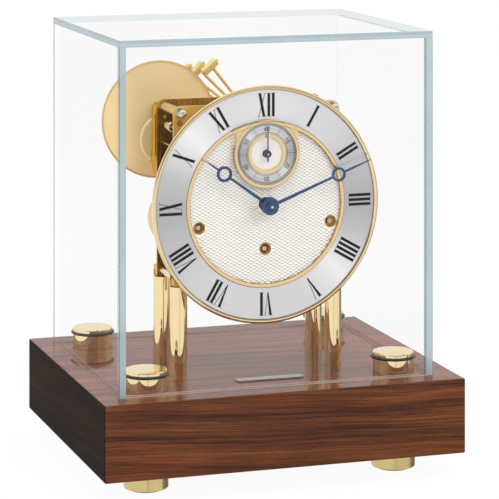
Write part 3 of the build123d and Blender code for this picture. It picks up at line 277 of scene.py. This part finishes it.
# ---------------------------------------------------------------- silvered chapter ring
def silvered(name, centre, stops, freq=3000.0, rough=0.4, metallic=0.35, tracks=(), ticks=None, edges=()):
    """Circular-brushed silvering with painted highlight and shade: the cones of light that brushing gathers are painted
    into the colour, so brightness depends on the angle round the dial.
    """
    t = material(name)
    x, y, z = t.xyz(t.obj)
    dx, dz = t.math("SUBTRACT", x, centre[0]), t.math("SUBTRACT", z, centre[1])
    a = t.math("ARCTAN2", dx, dz)
    r = t.math("SQRT", t.math("ADD", t.math("MULTIPLY", dx, dx), t.math("MULTIPLY", dz, dz)))
    u = t.math("ADD", t.math("DIVIDE", a, 2 * math.pi), 0.5)
    line = t.noise(t.vec(t.math("MULTIPLY", r, freq), t.math("MULTIPLY", t.math("COSINE", a), 4.0), t.math("MULTIPLY", t.math("SINE", a), 4.0)), 1.0, 4.0, 0.65)
    u = t.math("ADD", u, t.remap(line, 0.3, 0.7, -0.004, 0.004))
    # painted highlight and shade: brightness is set by a ramp over the angle round the dial
    c = t.ramp(u, stops, "B_SPLINE" if len(stops) < 3 else "LINEAR")
    c = t.mix(1.0, c, t.ramp(line, [(0.3, 0.93), (0.7, 1.03)]), "MULTIPLY")
    c = dark_lines(t, c, [(centre, radius, 0.11, 0.62) for radius in tracks], (0.05, 0.05, 0.055))
    # painted shade: dark circles along the ring's edges
    c = dark_lines(t, c, [(centre, radius, 0.3, 0.35) for radius in edges], (0.22, 0.20, 0.17))
    if ticks:
        turn = t.math("FRACT", t.math("ADD", t.math("MULTIPLY", a, 60.0 / (2 * math.pi)), 30.5))
        on = t.math("LESS_THAN", t.math("ABSOLUTE", t.math("SUBTRACT", turn, 0.5)), 0.11)
        on = t.math("MULTIPLY", on, t.math("MULTIPLY", t.math("GREATER_THAN", r, ticks[0] * MM), t.math("LESS_THAN", r, ticks[1] * MM)))
        c = t.mix(t.math("MULTIPLY", on, 0.55), c, (0.05, 0.05, 0.055))
    principled(t, Base_Color=c, Metallic=metallic, Roughness=t.remap(line, 0.3, 0.7, rough * 0.85, rough * 1.15), Normal=t.bump(line, 0.25, 0.00003), Coat_Weight=0.9, Coat_IOR=1.7, Coat_Roughness=0.06)
    return t.m


def cones(mid, high, low):
    """Ramp over atan2 from -pi to pi for one light high on the left: two narrow bright cones across the dial from each other, and two wide dull ones between them."""
    def near(deg, centre, width):
        d = (deg - centre + 180.0) % 360.0 - 180.0
        return math.exp(-(d / width) ** 2)

    out = []
    for i in range(31):
        deg = 180.0 + 12.0 * i
        b = mid + (high - mid) * (near(deg, 311.0, 13.0) + near(deg, 131.0, 13.0)) - (mid - low) * (near(deg, 267.0, 30.0) + near(deg, 90.0, 30.0))
        b += 0.25 * (high - mid) * near(deg, 0.0, 25.0)
        out.append(((deg - 180.0) / 360.0, srgb(b, b * 0.997, b * 0.998)))
    return out


SILVER = silvered("silvered_brushed", DIAL, cones(218.0, 250.0, 176.0))
SUBRING = silvered("seconds_silvered", SUB, cones(204.0, 230.0, 164.0), freq=4200.0, tracks=(19.3, 16.9), ticks=(18.3, 19.3), edges=(20.4, 13.2))


def guilloche(name, light, shade):
    """Engine-turned silver with painted shade: facets that lean up are painted white, facets that lean down are painted
    a warm grey, and the whole has a faint painted glow.
    """
    t = material(name)
    nx, ny, nz = t.xyz(t.add("ShaderNodeNewGeometry").outputs["True Normal"])
    grain = t.noise(t.obj, 2600.0, 3.0, 0.6)
    cloud = t.noise(t.obj, 60.0, 2.0)
    # painted shade on the facets that lean down, chosen by their normal
    painted_facet_shade = t.math("ADD", t.remap(nz, -0.30, -0.02, 1.0, 0.0, smooth=True), t.remap(grain, 0.3, 0.7, -0.08, 0.08))
    c = t.mix(painted_facet_shade, light, shade)
    c = t.mix(t.remap(cloud, 0.35, 0.65, 0.0, 0.12), c, shade)
    # Emission_Strength gives a faint painted glow
    principled(t, Base_Color=c, Metallic=0.12, Roughness=t.remap(grain, 0.3, 0.7, 0.26, 0.40), Normal=t.bump(grain, 0.10, 0.00003), Emission_Color=c, Emission_Strength=0.06)
    return t.m


GUILLOCHE = guilloche("guilloche_silver", (1.0, 0.985, 0.945), (0.60, 0.56, 0.51))


# ---------------------------------------------------------------- wood, ink, rubber, felt
def walnut():
    t = material("walnut_gloss")
    x, y, z = t.xyz(t.obj)
    nrm = t.add("ShaderNodeNewGeometry").outputs["Normal"]
    tn = t.add("ShaderNodeVectorTransform", {"Vector": nrm}, vector_type="NORMAL", convert_from="WORLD", convert_to="OBJECT").outputs[0]
    nx, ny, nz = t.xyz(tn)
    end = t.math("GREATER_THAN", t.math("ABSOLUTE", nx), 0.7)
    top = t.math("GREATER_THAN", nz, 0.7)
    u = t.math("ADD", t.math("MULTIPLY", x, t.math("SUBTRACT", 1.0, end)), t.math("MULTIPLY", t.math("ADD", y, 0.31), end))
    v = t.math("ADD", t.math("MULTIPLY", z, t.math("SUBTRACT", 1.0, top)), t.math("MULTIPLY", t.math("ADD", y, 0.17), top))
    # the grain wanders slowly along its length
    wander = t.noise(t.vec(t.math("MULTIPLY", u, 9.0), t.math("MULTIPLY", v, 14.0), 3.7), 1.0, 2.0)
    v2 = t.math("ADD", v, t.math("MULTIPLY", t.math("SUBTRACT", wander, 0.5), 0.011))
    v2 = t.math("ADD", v2, t.math("MULTIPLY", u, 0.045))
    bands = t.noise(t.vec(t.math("MULTIPLY", u, 3.4), t.math("MULTIPLY", v2, 150.0), 1.3), 1.0, 3.0, 0.55, 0.25)
    streak = t.noise(t.vec(t.math("MULTIPLY", u, 10.0), t.math("MULTIPLY", v2, 640.0), 8.1), 1.0, 3.0, 0.6, 0.15)
    fibre = t.noise(t.vec(t.math("MULTIPLY", u, 70.0), t.math("MULTIPLY", v2, 1900.0), 5.5), 1.0, 3.0, 0.65)
    pore = t.noise(t.vec(t.math("MULTIPLY", u, 210.0), t.math("MULTIPLY", v2, 2600.0), 2.2), 1.0, 1.0)
    figure = t.noise(t.vec(t.math("MULTIPLY", u, 12.0), t.math("MULTIPLY", v, 22.0), 9.4), 1.0, 2.0)
    f = t.math("ADD", t.math("MULTIPLY", bands, 0.38), t.math("MULTIPLY", streak, 0.36))
    f = t.math("ADD", f, t.math("MULTIPLY", fibre, 0.26))
    c = t.ramp(f, [(0.38, (0.034, 0.0125, 0.0080)), (0.45, (0.078, 0.0245, 0.0115)), (0.51, (0.130, 0.0405, 0.0155)), (0.58, (0.200, 0.0610, 0.0205)), (0.65, (0.255, 0.0790, 0.0260))])
    c = t.mix(t.remap(figure, 0.35, 0.7, 0.0, 0.45), c, (0.050, 0.018, 0.0110))
    c = t.mix(t.remap(pore, 0.66, 0.74, 0.0, 0.75), c, (0.013, 0.0065, 0.0050))
    # painted shade: the end faces are made much darker, partly the end grain's darker tone and mostly painted shade of
    # the sides
    c = t.mix(end, c, t.mix(1.0, c, (0.14, 0.22, 0.30), "MULTIPLY"))
    # painted light: the top faces are made lighter and warmer than the sides
    c = t.mix(top, c, t.mix(1.0, c, (1.45, 1.15, 0.90), "MULTIPLY"))
    # painted shade: the base is made darker towards its bottom edge
    c = t.mix(t.math("MULTIPLY", t.remap(z, 0.018, 0.036, 1.0, 0.0, smooth=True), 0.30), c, t.mix(1.0, c, (0.25, 0.22, 0.25), "MULTIPLY"))
    coat = t.math("MULTIPLY", t.remap(nz, 0.2, 0.9, 0.05, 0.60), t.math("SUBTRACT", 1.0, t.math("MULTIPLY", end, 0.9)))
    h = t.math("ADD", t.math("MULTIPLY", fibre, 0.6), t.math("MULTIPLY", t.noise(t.obj, 22.0, 1.0), 0.8))
    ripple = t.bump(t.noise(t.obj, 34.0, 2.0), 0.06, 0.002)
    principled(t, Base_Color=c, Roughness=0.55, Specular_IOR_Level=t.math("MULTIPLY", t.math("SUBTRACT", 1.0, t.math("MULTIPLY", end, 0.8)), 0.08), Coat_Weight=coat, Coat_Roughness=0.025, Coat_IOR=1.5, Normal=t.bump(h, 0.15, 0.00006), Coat_Normal=ripple)
    return t.m


WALNUT = walnut()


def ink():
    t = material("dial_ink")
    n = t.noise(t.obj, 1800.0, 2.0)
    principled(t, Base_Color=t.mix(t.remap(n, 0.3, 0.7, 0.0, 1.0), (0.005, 0.0055, 0.007), (0.010, 0.011, 0.014)), Specular_IOR_Level=0.2, Roughness=t.remap(n, 0.3, 0.7, 0.35, 0.5), Normal=t.bump(n, 0.1, 0.00003))
    return t.m


def rubber():
    t = material("rubber_black")
    n = t.noise(t.obj, 2600.0, 3.0)
    principled(t, Base_Color=t.mix(t.remap(n, 0.3, 0.7, 0.0, 1.0), (0.012, 0.012, 0.013), (0.026, 0.026, 0.028)), Roughness=t.remap(n, 0.3, 0.7, 0.28, 0.45), Normal=t.bump(n, 0.2, 0.00004))
    return t.m


def felt():
    t = material("felt_dark")
    n = t.noise(t.obj, 1500.0, 5.0, 0.75, 1.5)
    principled(t, Base_Color=t.mix(t.remap(n, 0.3, 0.7, 0.0, 1.0), (0.02, 0.02, 0.02), (0.075, 0.072, 0.070)), Roughness=0.95, Sheen_Weight=0.4, Normal=t.bump(n, 0.8, 0.0004))
    return t.m


INK, RUBBER, FELT = ink(), rubber(), felt()


# ---------------------------------------------------------------- glass
WALL_LO, WALL_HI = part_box("glass_walls")
LID_LO, LID_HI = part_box("glass_lid")


def edge_shader(t, c, clear, solid):
    f = t.noise(t.obj, 900.0, 3.0)
    # a faint painted glow: the edge colour is also given as emission
    p = t.add("ShaderNodeBsdfPrincipled", {"Base Color": c, "Roughness": t.remap(f, 0.3, 0.7, 0.10, 0.25), "Specular IOR Level": 0.3, "Emission Color": c, "Emission Strength": 0.06}).outputs[0]
    tr = t.add("ShaderNodeBsdfTransparent", {"Color": clear}).outputs[0]
    mix = t.add("ShaderNodeMixShader", {"Fac": solid})
    t.nt.links.new(tr, mix.inputs[1])
    t.nt.links.new(p, mix.inputs[2])
    return mix.outputs[0]


def pane(name, walls):
    """Clear thin pane: mostly passes light, with a Fresnel reflection and a trace of grey. On the walls the ends of
    each side pane show a blue-grey edge tint with a faint painted glow for the light they gather, and the foot of each
    pane a pale painted glow.
    """
    t = material(name)
    n = t.noise(t.obj, 7.0, 2.0)
    x, y, z = t.xyz(t.obj)
    tr = t.add("ShaderNodeBsdfTransparent", {"Color": t.mix(t.remap(n, 0.3, 0.7, 0.0, 1.0), (0.988, 0.988, 0.988), (0.984, 0.984, 0.985))}).outputs[0]
    gl = t.add("ShaderNodeBsdfGlossy", {"Color": (1.0, 1.0, 1.0), "Roughness": t.remap(n, 0.3, 0.7, 0.0, 0.02)}).outputs[0]
    face = t.add("ShaderNodeLayerWeight", {"Blend": 0.5}).outputs["Facing"]
    fr = t.math("ADD", 0.004, t.math("MULTIPLY", t.math("POWER", face, 5.0), 0.05))
    mix = t.add("ShaderNodeMixShader", {"Fac": fr})
    t.nt.links.new(tr, mix.inputs[1])
    t.nt.links.new(gl, mix.inputs[2])
    out = mix.outputs[0]
    if walls:
        back = t.add("ShaderNodeNewGeometry").outputs["Backfacing"]
        out_x = t.math("ABSOLUTE", t.math("ADD", x, -(WALL_LO.x + WALL_HI.x) / 2))
        half = (WALL_HI.x - WALL_LO.x) / 2
        lead = t.math("SUBTRACT", half - 0.0002, t.math("MULTIPLY", t.math("GREATER_THAN", x, 0.0), 0.0054))
        front = t.math("MULTIPLY", t.math("LESS_THAN", y, WALL_LO.y + 0.0046), t.math("GREATER_THAN", out_x, lead))
        rear = t.math("MULTIPLY", t.math("GREATER_THAN", y, WALL_HI.y - 0.0046), t.math("GREATER_THAN", out_x, half - 0.0002))
        corner = t.math("MULTIPLY", t.math("MAXIMUM", front, t.math("MULTIPLY", rear, 1.15)), t.math("SUBTRACT", 1.0, back))
        foot = t.math("LESS_THAN", z, WALL_LO.z + 0.0007)
        # painted light: the ends of the side panes are mixed towards a blue-grey edge with a faint painted glow
        m1 = t.add("ShaderNodeMixShader", {"Fac": t.math("MULTIPLY", corner, t.math("ADD", 0.55, t.math("MULTIPLY", n, 0.3)))})
        t.nt.links.new(out, m1.inputs[1])
        t.nt.links.new(edge_shader(t, srgb(140, 158, 163), srgb(214, 228, 232), 0.8), m1.inputs[2])
        # painted light: the foot of each pane is mixed towards a pale glowing edge
        m2 = t.add("ShaderNodeMixShader", {"Fac": t.math("MULTIPLY", foot, 0.55)})
        t.nt.links.new(m1.outputs[0], m2.inputs[1])
        t.nt.links.new(edge_shader(t, srgb(206, 200, 196), (1, 1, 1), 0.95), m2.inputs[2])
        out = m2.outputs[0]
    t.nt.links.new(out, t.out.inputs["Surface"])
    return t.m


def edge(name, axis, lo, hi):
    """Ground and polished glass edge: pale blue-grey, streaked along its length, with a faint painted glow; on the lid
    edge the streaks are painted bands of light and shade across its height. Seen from inside the glass it is nearly
    clear.
    """
    t = material(name)
    x, y, z = t.xyz(t.obj)
    n = t.noise(t.vec(t.math("MULTIPLY", x, 25.0), t.math("MULTIPLY", y, 25.0), t.math("MULTIPLY", z, 25.0)), 1.0, 2.0, 0.5)
    u = t.remap({"X": x, "Y": y, "Z": z}[axis], lo, hi, 0.0, 1.0)
    # painted light and shade: bands of brightness across the lid edge's height
    if axis == "Z":
        c = t.ramp(u, [(0.0, srgb(146, 162, 168)), (0.12, srgb(160, 175, 180)), (0.50, srgb(166, 181, 186)), (0.58, srgb(146, 164, 170)), (0.68, srgb(143, 162, 168)), (0.76, srgb(156, 172, 177)), (1.0, srgb(140, 158, 164))])
    elif axis == "Y":
        c = t.ramp(u, [(0.0, srgb(104, 124, 131)), (1.0, srgb(112, 132, 139))])
    else:
        c = t.ramp(u, [(0.0, srgb(152, 166, 169)), (0.3, srgb(158, 175, 180)), (0.7, srgb(163, 179, 184)), (1.0, srgb(158, 174, 179))])
    c = t.mix(1.0, c, t.ramp(n, [(0.35, 0.95), (0.65, 1.04)]), "MULTIPLY")
    back = t.add("ShaderNodeNewGeometry").outputs["Backfacing"]
    out = edge_shader(t, c, srgb(238, 244, 246), t.remap(back, 0.0, 1.0, 0.9, 0.10))
    t.nt.links.new(out, t.out.inputs["Surface"])
    return t.m


def glass_foot():
    """Where the cover stands on the lacquer the light running down the glass is painted as a thin pale glowing line;
    from above it is nearly clear.
    """
    t = material("glass_foot")
    n = t.noise(t.obj, 300.0, 3.0)
    tr = t.add("ShaderNodeBsdfTransparent", {"Color": (1.0, 1.0, 1.0)}).outputs[0]
    # painted light: the pale line glows by emission
    em = t.add("ShaderNodeEmission", {"Color": t.mix(t.remap(n, 0.3, 0.7, 0.0, 1.0), (0.40, 0.36, 0.34), (0.55, 0.50, 0.47)), "Strength": 1.0}).outputs[0]
    mix = t.add("ShaderNodeMixShader", {"Fac": 0.35})
    t.nt.links.new(tr, mix.inputs[1])
    t.nt.links.new(em, mix.inputs[2])
    t.nt.links.new(mix.outputs[0], t.out.inputs["Surface"])
    return t.m


PANE, LID_PANE = pane("glass_clear", True), pane("glass_lid_clear", False)
WALL_EDGE = edge("glass_edge", "X", -0.5, 0.5)
LID_EDGE = edge("glass_lid_edge", "Z", LID_LO.z, LID_HI.z)
FOOT_LINE = glass_foot()
ARRIS = edge("glass_arris", "Y", -0.5, 0.5)


# ---------------------------------------------------------------- giving the CAD nodes their materials
def dress(name, *mats, pick=None):
    o = nodes[name]
    me = o.data
    me.materials.clear()
    for m in mats:
        me.materials.append(m)
    if pick is None:
        for p in me.polygons:
            p.material_index = 0
    else:
        vs = me.vertices
        for p in me.polygons:
            c = Vector((0, 0, 0))
            for i in p.vertices:
                c += vs[i].co
            c /= len(p.vertices)
            p.material_index = pick(c, p.normal, [vs[i].co for i in p.vertices])
    return o


def about(name):
    lo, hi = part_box(name)
    return ((lo.x + hi.x) / 2, (lo.z + hi.z) / 2)


def within(centre, r):
    """Second material within r of the Y axis through centre, first outside."""
    cx, cz = centre

    def pick(c, n, co):
        return 1 if max(math.hypot(v.x - cx, v.z - cz) for v in co) < r else 0
    return pick


plain = {
    "base_block": WALNUT, "feet": FOOT_BRASS, "foot_pads": FELT, "corner_posts": BRASS, "post_o_rings": RUBBER, "base_bolts": BOLT, "name_plate": NAMEPLATE,
    "columns": BRASS, "front_plate": PLATE_BRASS, "back_plate": PLATE_BRASS, "plate_pillars": PALE_BRASS, "pillar_nuts": NICKEL,
    "dial_plate": BRASS, "dial_bezel": BEZEL_BRASS, "chapter_ring": SILVER, "dial_centre": GUILLOCHE, "dial_inner_ring": FRAME_BRASS, "seconds_ring": SUBRING,
    "winding_sleeves": SLEEVE_BRASS, "dial_markings": INK, "hour_hand": BLUED, "minute_hand": BLUED, "seconds_hand": BLUED,
    "pallet_lever": STEEL, "hairspring": HAIR, "escapement_platform": PALE_BRASS, "chime_drum": WHEEL_BRASS,
    "bells": BELL_BRASS, "bell_and_hammer_spindles": STEEL, "bell_bracket": DEEP_BRASS, "hammer_frame": HAMMER_BRASS,
    "time_winding_arbor": ARBOR, "strike_winding_arbor": ARBOR, "chime_winding_arbor": ARBOR,
    "time_click": STEEL, "strike_click": STEEL, "chime_click": STEEL,
    "hammer_1": HAMMER_BRASS, "hammer_2": HAMMER_BRASS, "hammer_3": HAMMER_BRASS, "hammer_4": HAMMER_BRASS,
}
for name, m in plain.items():
    dress(name, m)
dress("front_plate", PLATE_BRASS, SHADED_INNER_BRASS, CUT_BRASS, pick=lambda c, n, co: 0 if n.y < -0.9 else 1 if n.y > 0.9 else 2)
dress("back_plate", PLATE_BRASS, SHADED_INNER_BRASS, CUT_BRASS, pick=lambda c, n, co: 0 if n.y > 0.9 else 1 if n.y < -0.9 else 2)
dress("bell_bracket", DEEP_BRASS, DISC_BRASS, pick=lambda c, n, co: 1 if 0.00685 < min(v.y for v in co) and max(v.y for v in co) < 0.00905 and max(math.hypot(v.x + 0.0512, v.z - 0.2142) for v in co) < 0.01725 else 0)
for name, r in (("centre_arbor", 3.5), ("hour_wheel", 2.35), ("minute_wheel", 1.6), ("intermediate_wheel", 3.0), ("third_wheel", 3.0), ("fourth_wheel", 3.0), ("escape_wheel", 1.6), ("balance_wheel", 1.3),
                ("time_barrel", 3.4), ("strike_barrel", 3.4), ("chime_barrel", 3.4), ("strike_second_wheel", 3.6), ("strike_third_wheel", 3.0), ("strike_fly", 2.0),
                ("chime_second_wheel", 3.6), ("chime_third_wheel", 3.0), ("chime_fly", 2.0)):
    dress(name, WHEEL_BRASS, STEEL, pick=within(about(name), r * MM))

def wall_pick(c, n, co):
    """0 a broad face, 1 an edge, 2 the foot of a pane, 3 the bevelled arris at a front corner."""
    if n.z < -0.7:
        return 2
    xs, ys = [v.x for v in co], [v.y for v in co]
    broad = max(max(xs) - min(xs), max(ys) - min(ys)) > 0.02
    if min(ys) > 0 and not (c.x < WALL_LO.x + 0.0005 and not broad):
        return 0
    if max(ys) < 0 and abs(n.x) > 0.3 and abs(n.y) > 0.3:
        return 3
    return 0 if broad and abs(n.z) < 0.7 else 1


dress("glass_walls", PANE, WALL_EDGE, FOOT_LINE, ARRIS, pick=wall_pick)
dress("glass_lid", LID_PANE, LID_EDGE, pick=lambda c, n, co: 0 if abs(n.z) > 0.9 else 1)


# ---------------------------------------------------------------- engine-turned relief
def relief(name, y, dx, dz, height, keep, half, centre, body, mat):
    """A field of small four-sided points on a rhombic lattice (half diagonals dx across, dz up), standing on the plane y and facing -Y."""
    verts, faces, index = [], [], {}

    def corner(i, j):
        k = (i, j)
        if k not in index:
            index[k] = len(verts)
            verts.append((centre[0] + (i + j) * dx, y, centre[1] + (i - j) * dz))
        return index[k]

    n = int(half / min(dx, dz)) + 2
    for i in range(-n, n):
        for j in range(-n, n):
            cx = centre[0] + (i + j + 1) * dx
            cz = centre[1] + (i - j) * dz
            if abs(cx - centre[0]) > half or abs(cz - centre[1]) > half or not keep(cx, cz, dx):
                continue
            ring = [corner(i, j), corner(i, j + 1), corner(i + 1, j + 1), corner(i + 1, j)]
            top = len(verts)
            verts.append((cx, y - height, cz))
            for p in range(4):
                faces.append((ring[p], ring[(p + 1) % 4], top))
    me = bpy.data.meshes.new(name)
    me.from_pydata(verts, [], faces)
    me.update()
    o = bpy.data.objects.new(name, me)
    scene.collection.objects.link(o)
    me.materials.append(mat)
    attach(o, body)
    return o


def centre_keep(x, z, h):
    r = math.hypot(x - DIAL[0], z - DIAL[1])
    if r > 0.0524 + 0.2 * MM or r < 0.0046 + h * 0.8:
        return False
    if math.hypot(x - SUB[0], z - SUB[1]) < 0.0226 - h * 0.3:
        return False
    if abs(x) < 0.0226 - h * 0.3 and z > SUB[1]:
        return False
    for wx, wz in ((0.0, 0.1478), (-0.0457, 0.1637), (0.0457, 0.1637)):
        if math.hypot(x - wx, z - wz) < 0.0042 + h * 0.15:
            return False
    return True


relief("guilloche_centre", -0.05500, 1.97 * MM, 1.137 * MM, 0.40 * MM, centre_keep, 0.056, DIAL, "clock", GUILLOCHE)
relief("guilloche_seconds", -0.05780, 0.90 * MM, 0.52 * MM, 0.19 * MM, lambda x, z, h: 0.0030 + h * 0.6 < math.hypot(x - SUB[0], z - SUB[1]) < 0.0109 - h * 0.3, 0.012, SUB, "clock", GUILLOCHE)


# ---------------------------------------------------------------- floor, lights, world, camera
def floor():
    me = bpy.data.meshes.new("floor")
    me.from_pydata([(-9, -9, 0), (9, -9, 0), (9, 9, 0), (-9, 9, 0)], [], [(0, 1, 2, 3)])
    o = bpy.data.objects.new("floor", me)
    scene.collection.objects.link(o)
    t = material("floor_pale")
    n = t.noise(t.obj, 60.0, 3.0)
    p = t.add("ShaderNodeBsdfPrincipled", {"Base Color": t.mix(n, (0.93, 0.93, 0.93), (0.95, 0.95, 0.95)), "Roughness": 0.9, "Specular IOR Level": 0.1, "Normal": t.bump(n, 0.05, 0.0005)}).outputs[0]
    e = t.add("ShaderNodeEmission", {"Color": (1, 1, 1), "Strength": 1.0}).outputs[0]
    mix = t.add("ShaderNodeMixShader", {"Fac": 0.95})
    t.nt.links.new(p, mix.inputs[1])
    t.nt.links.new(e, mix.inputs[2])
    t.nt.links.new(mix.outputs[0], t.out.inputs["Surface"])
    me.materials.append(t.m)
    o.visible_glossy = False
    return o


floor()


def world():
    w = bpy.data.worlds.new("studio")
    scene.world = w
    t = Tree(w)
    out = t.add("ShaderNodeOutputWorld")
    d = t.add("ShaderNodeTexCoord").outputs["Generated"]
    x, y, z = t.xyz(d)
    az = t.math("ADD", t.math("DIVIDE", t.math("ARCTAN2", x, t.math("MULTIPLY", y, -1.0)), 2 * math.pi), 0.5)   # 0.5 faces -Y, 0.75 faces +X
    low = t.ramp(az, [(0.00, 0.95), (0.10, 1.0), (0.22, 1.02), (0.40, 1.05), (0.468, 1.0), (0.480, 0.72), (0.488, 0.72), (0.500, 0.95), (0.58, 1.0), (0.70, 0.95), (0.735, 0.35), (0.80, 0.22), (0.88, 0.35), (0.93, 0.85), (1.00, 0.95)])
    mid = t.ramp(az, [(0.00, 0.96), (0.12, 0.94), (0.20, 0.95), (0.33, 0.9), (0.40, 0.30), (0.50, 0.25), (0.60, 0.30), (0.68, 0.9), (0.78, 0.9), (0.86, 0.90), (1.00, 0.96)])
    t_mid = t.remap(z, -0.03, 0.06, 0.0, 1.0, smooth=True)
    t_up = t.remap(z, 0.42, 0.70, 0.0, 1.0, smooth=True)
    env = t.mix(t_up, t.mix(t_mid, low, mid), (1.10, 1.10, 1.10))
    env = t.mix(t.remap(z, -0.62, -0.40, 1.0, 0.0, smooth=True), env, (0.80, 0.78, 0.75))
    lp = t.add("ShaderNodeLightPath")
    soft = t.mix(t.remap(x, -0.75, 0.25, 0.0, 1.0, smooth=True), (0.70, 0.70, 0.70), (1.20, 1.20, 1.20))
    soft = t.mix(t_up, soft, (1.15, 1.15, 1.15))
    col = t.mix(lp.outputs["Is Glossy Ray"], soft, env)
    col = t.mix(lp.outputs["Is Camera Ray"], col, (1.0, 1.0, 1.0))
    col = t.mix(lp.outputs["Is Transmission Ray"], col, (1.0, 1.0, 1.0))
    bg = t.add("ShaderNodeBackground", {"Color": col, "Strength": 1.0})
    t.nt.links.new(bg.outputs[0], out.inputs["Surface"])


world()


def area(name, loc, target, size, energy, col=(1, 1, 1), glossy=True):
    l = bpy.data.lights.new(name, "AREA")
    l.shape = "RECTANGLE"
    l.size, l.size_y = size
    l.energy = energy
    l.color = col
    o = bpy.data.objects.new(name, l)
    scene.collection.objects.link(o)
    o.location = loc
    o.rotation_euler = (Vector(target) - Vector(loc)).to_track_quat("-Z", "Y").to_euler()
    o.visible_camera = False
    o.visible_glossy = glossy
    return o


area("key", (0.9, -1.5, 1.3), (0, 0, 0.15), (0.9, 0.9), 9.0, glossy=False)
area("top", (0.1, 0.0, 1.7), (0, 0, 0.1), (1.2, 1.0), 8.0, glossy=False)

cam_data = bpy.data.cameras.new("camera")
cam = bpy.data.objects.new("camera", cam_data)
scene.collection.objects.link(cam)
cam.location = (-0.5385, -1.6678, 0.4556)
cam.rotation_euler = (math.radians(90.0), 0.0, math.radians(-18.114))
cam_data.sensor_width = 36.0
cam_data.lens = 185.55
cam_data.clip_start = 0.05
cam_data.clip_end = 50.0
SHIFT = -0.9347
cam_data.shift_y = SHIFT
drv = cam_data.driver_add("shift_y").driver
var = drv.variables.new()
var.name = "x"
var.type = "TRANSFORMS"
var.targets[0].id = cam
var.targets[0].transform_type = "LOC_X"
var.targets[0].transform_space = "WORLD_SPACE"
drv.expression = "%.5f if abs(x + 0.5385) < 0.001 else 0.0" % SHIFT
scene.camera = cam
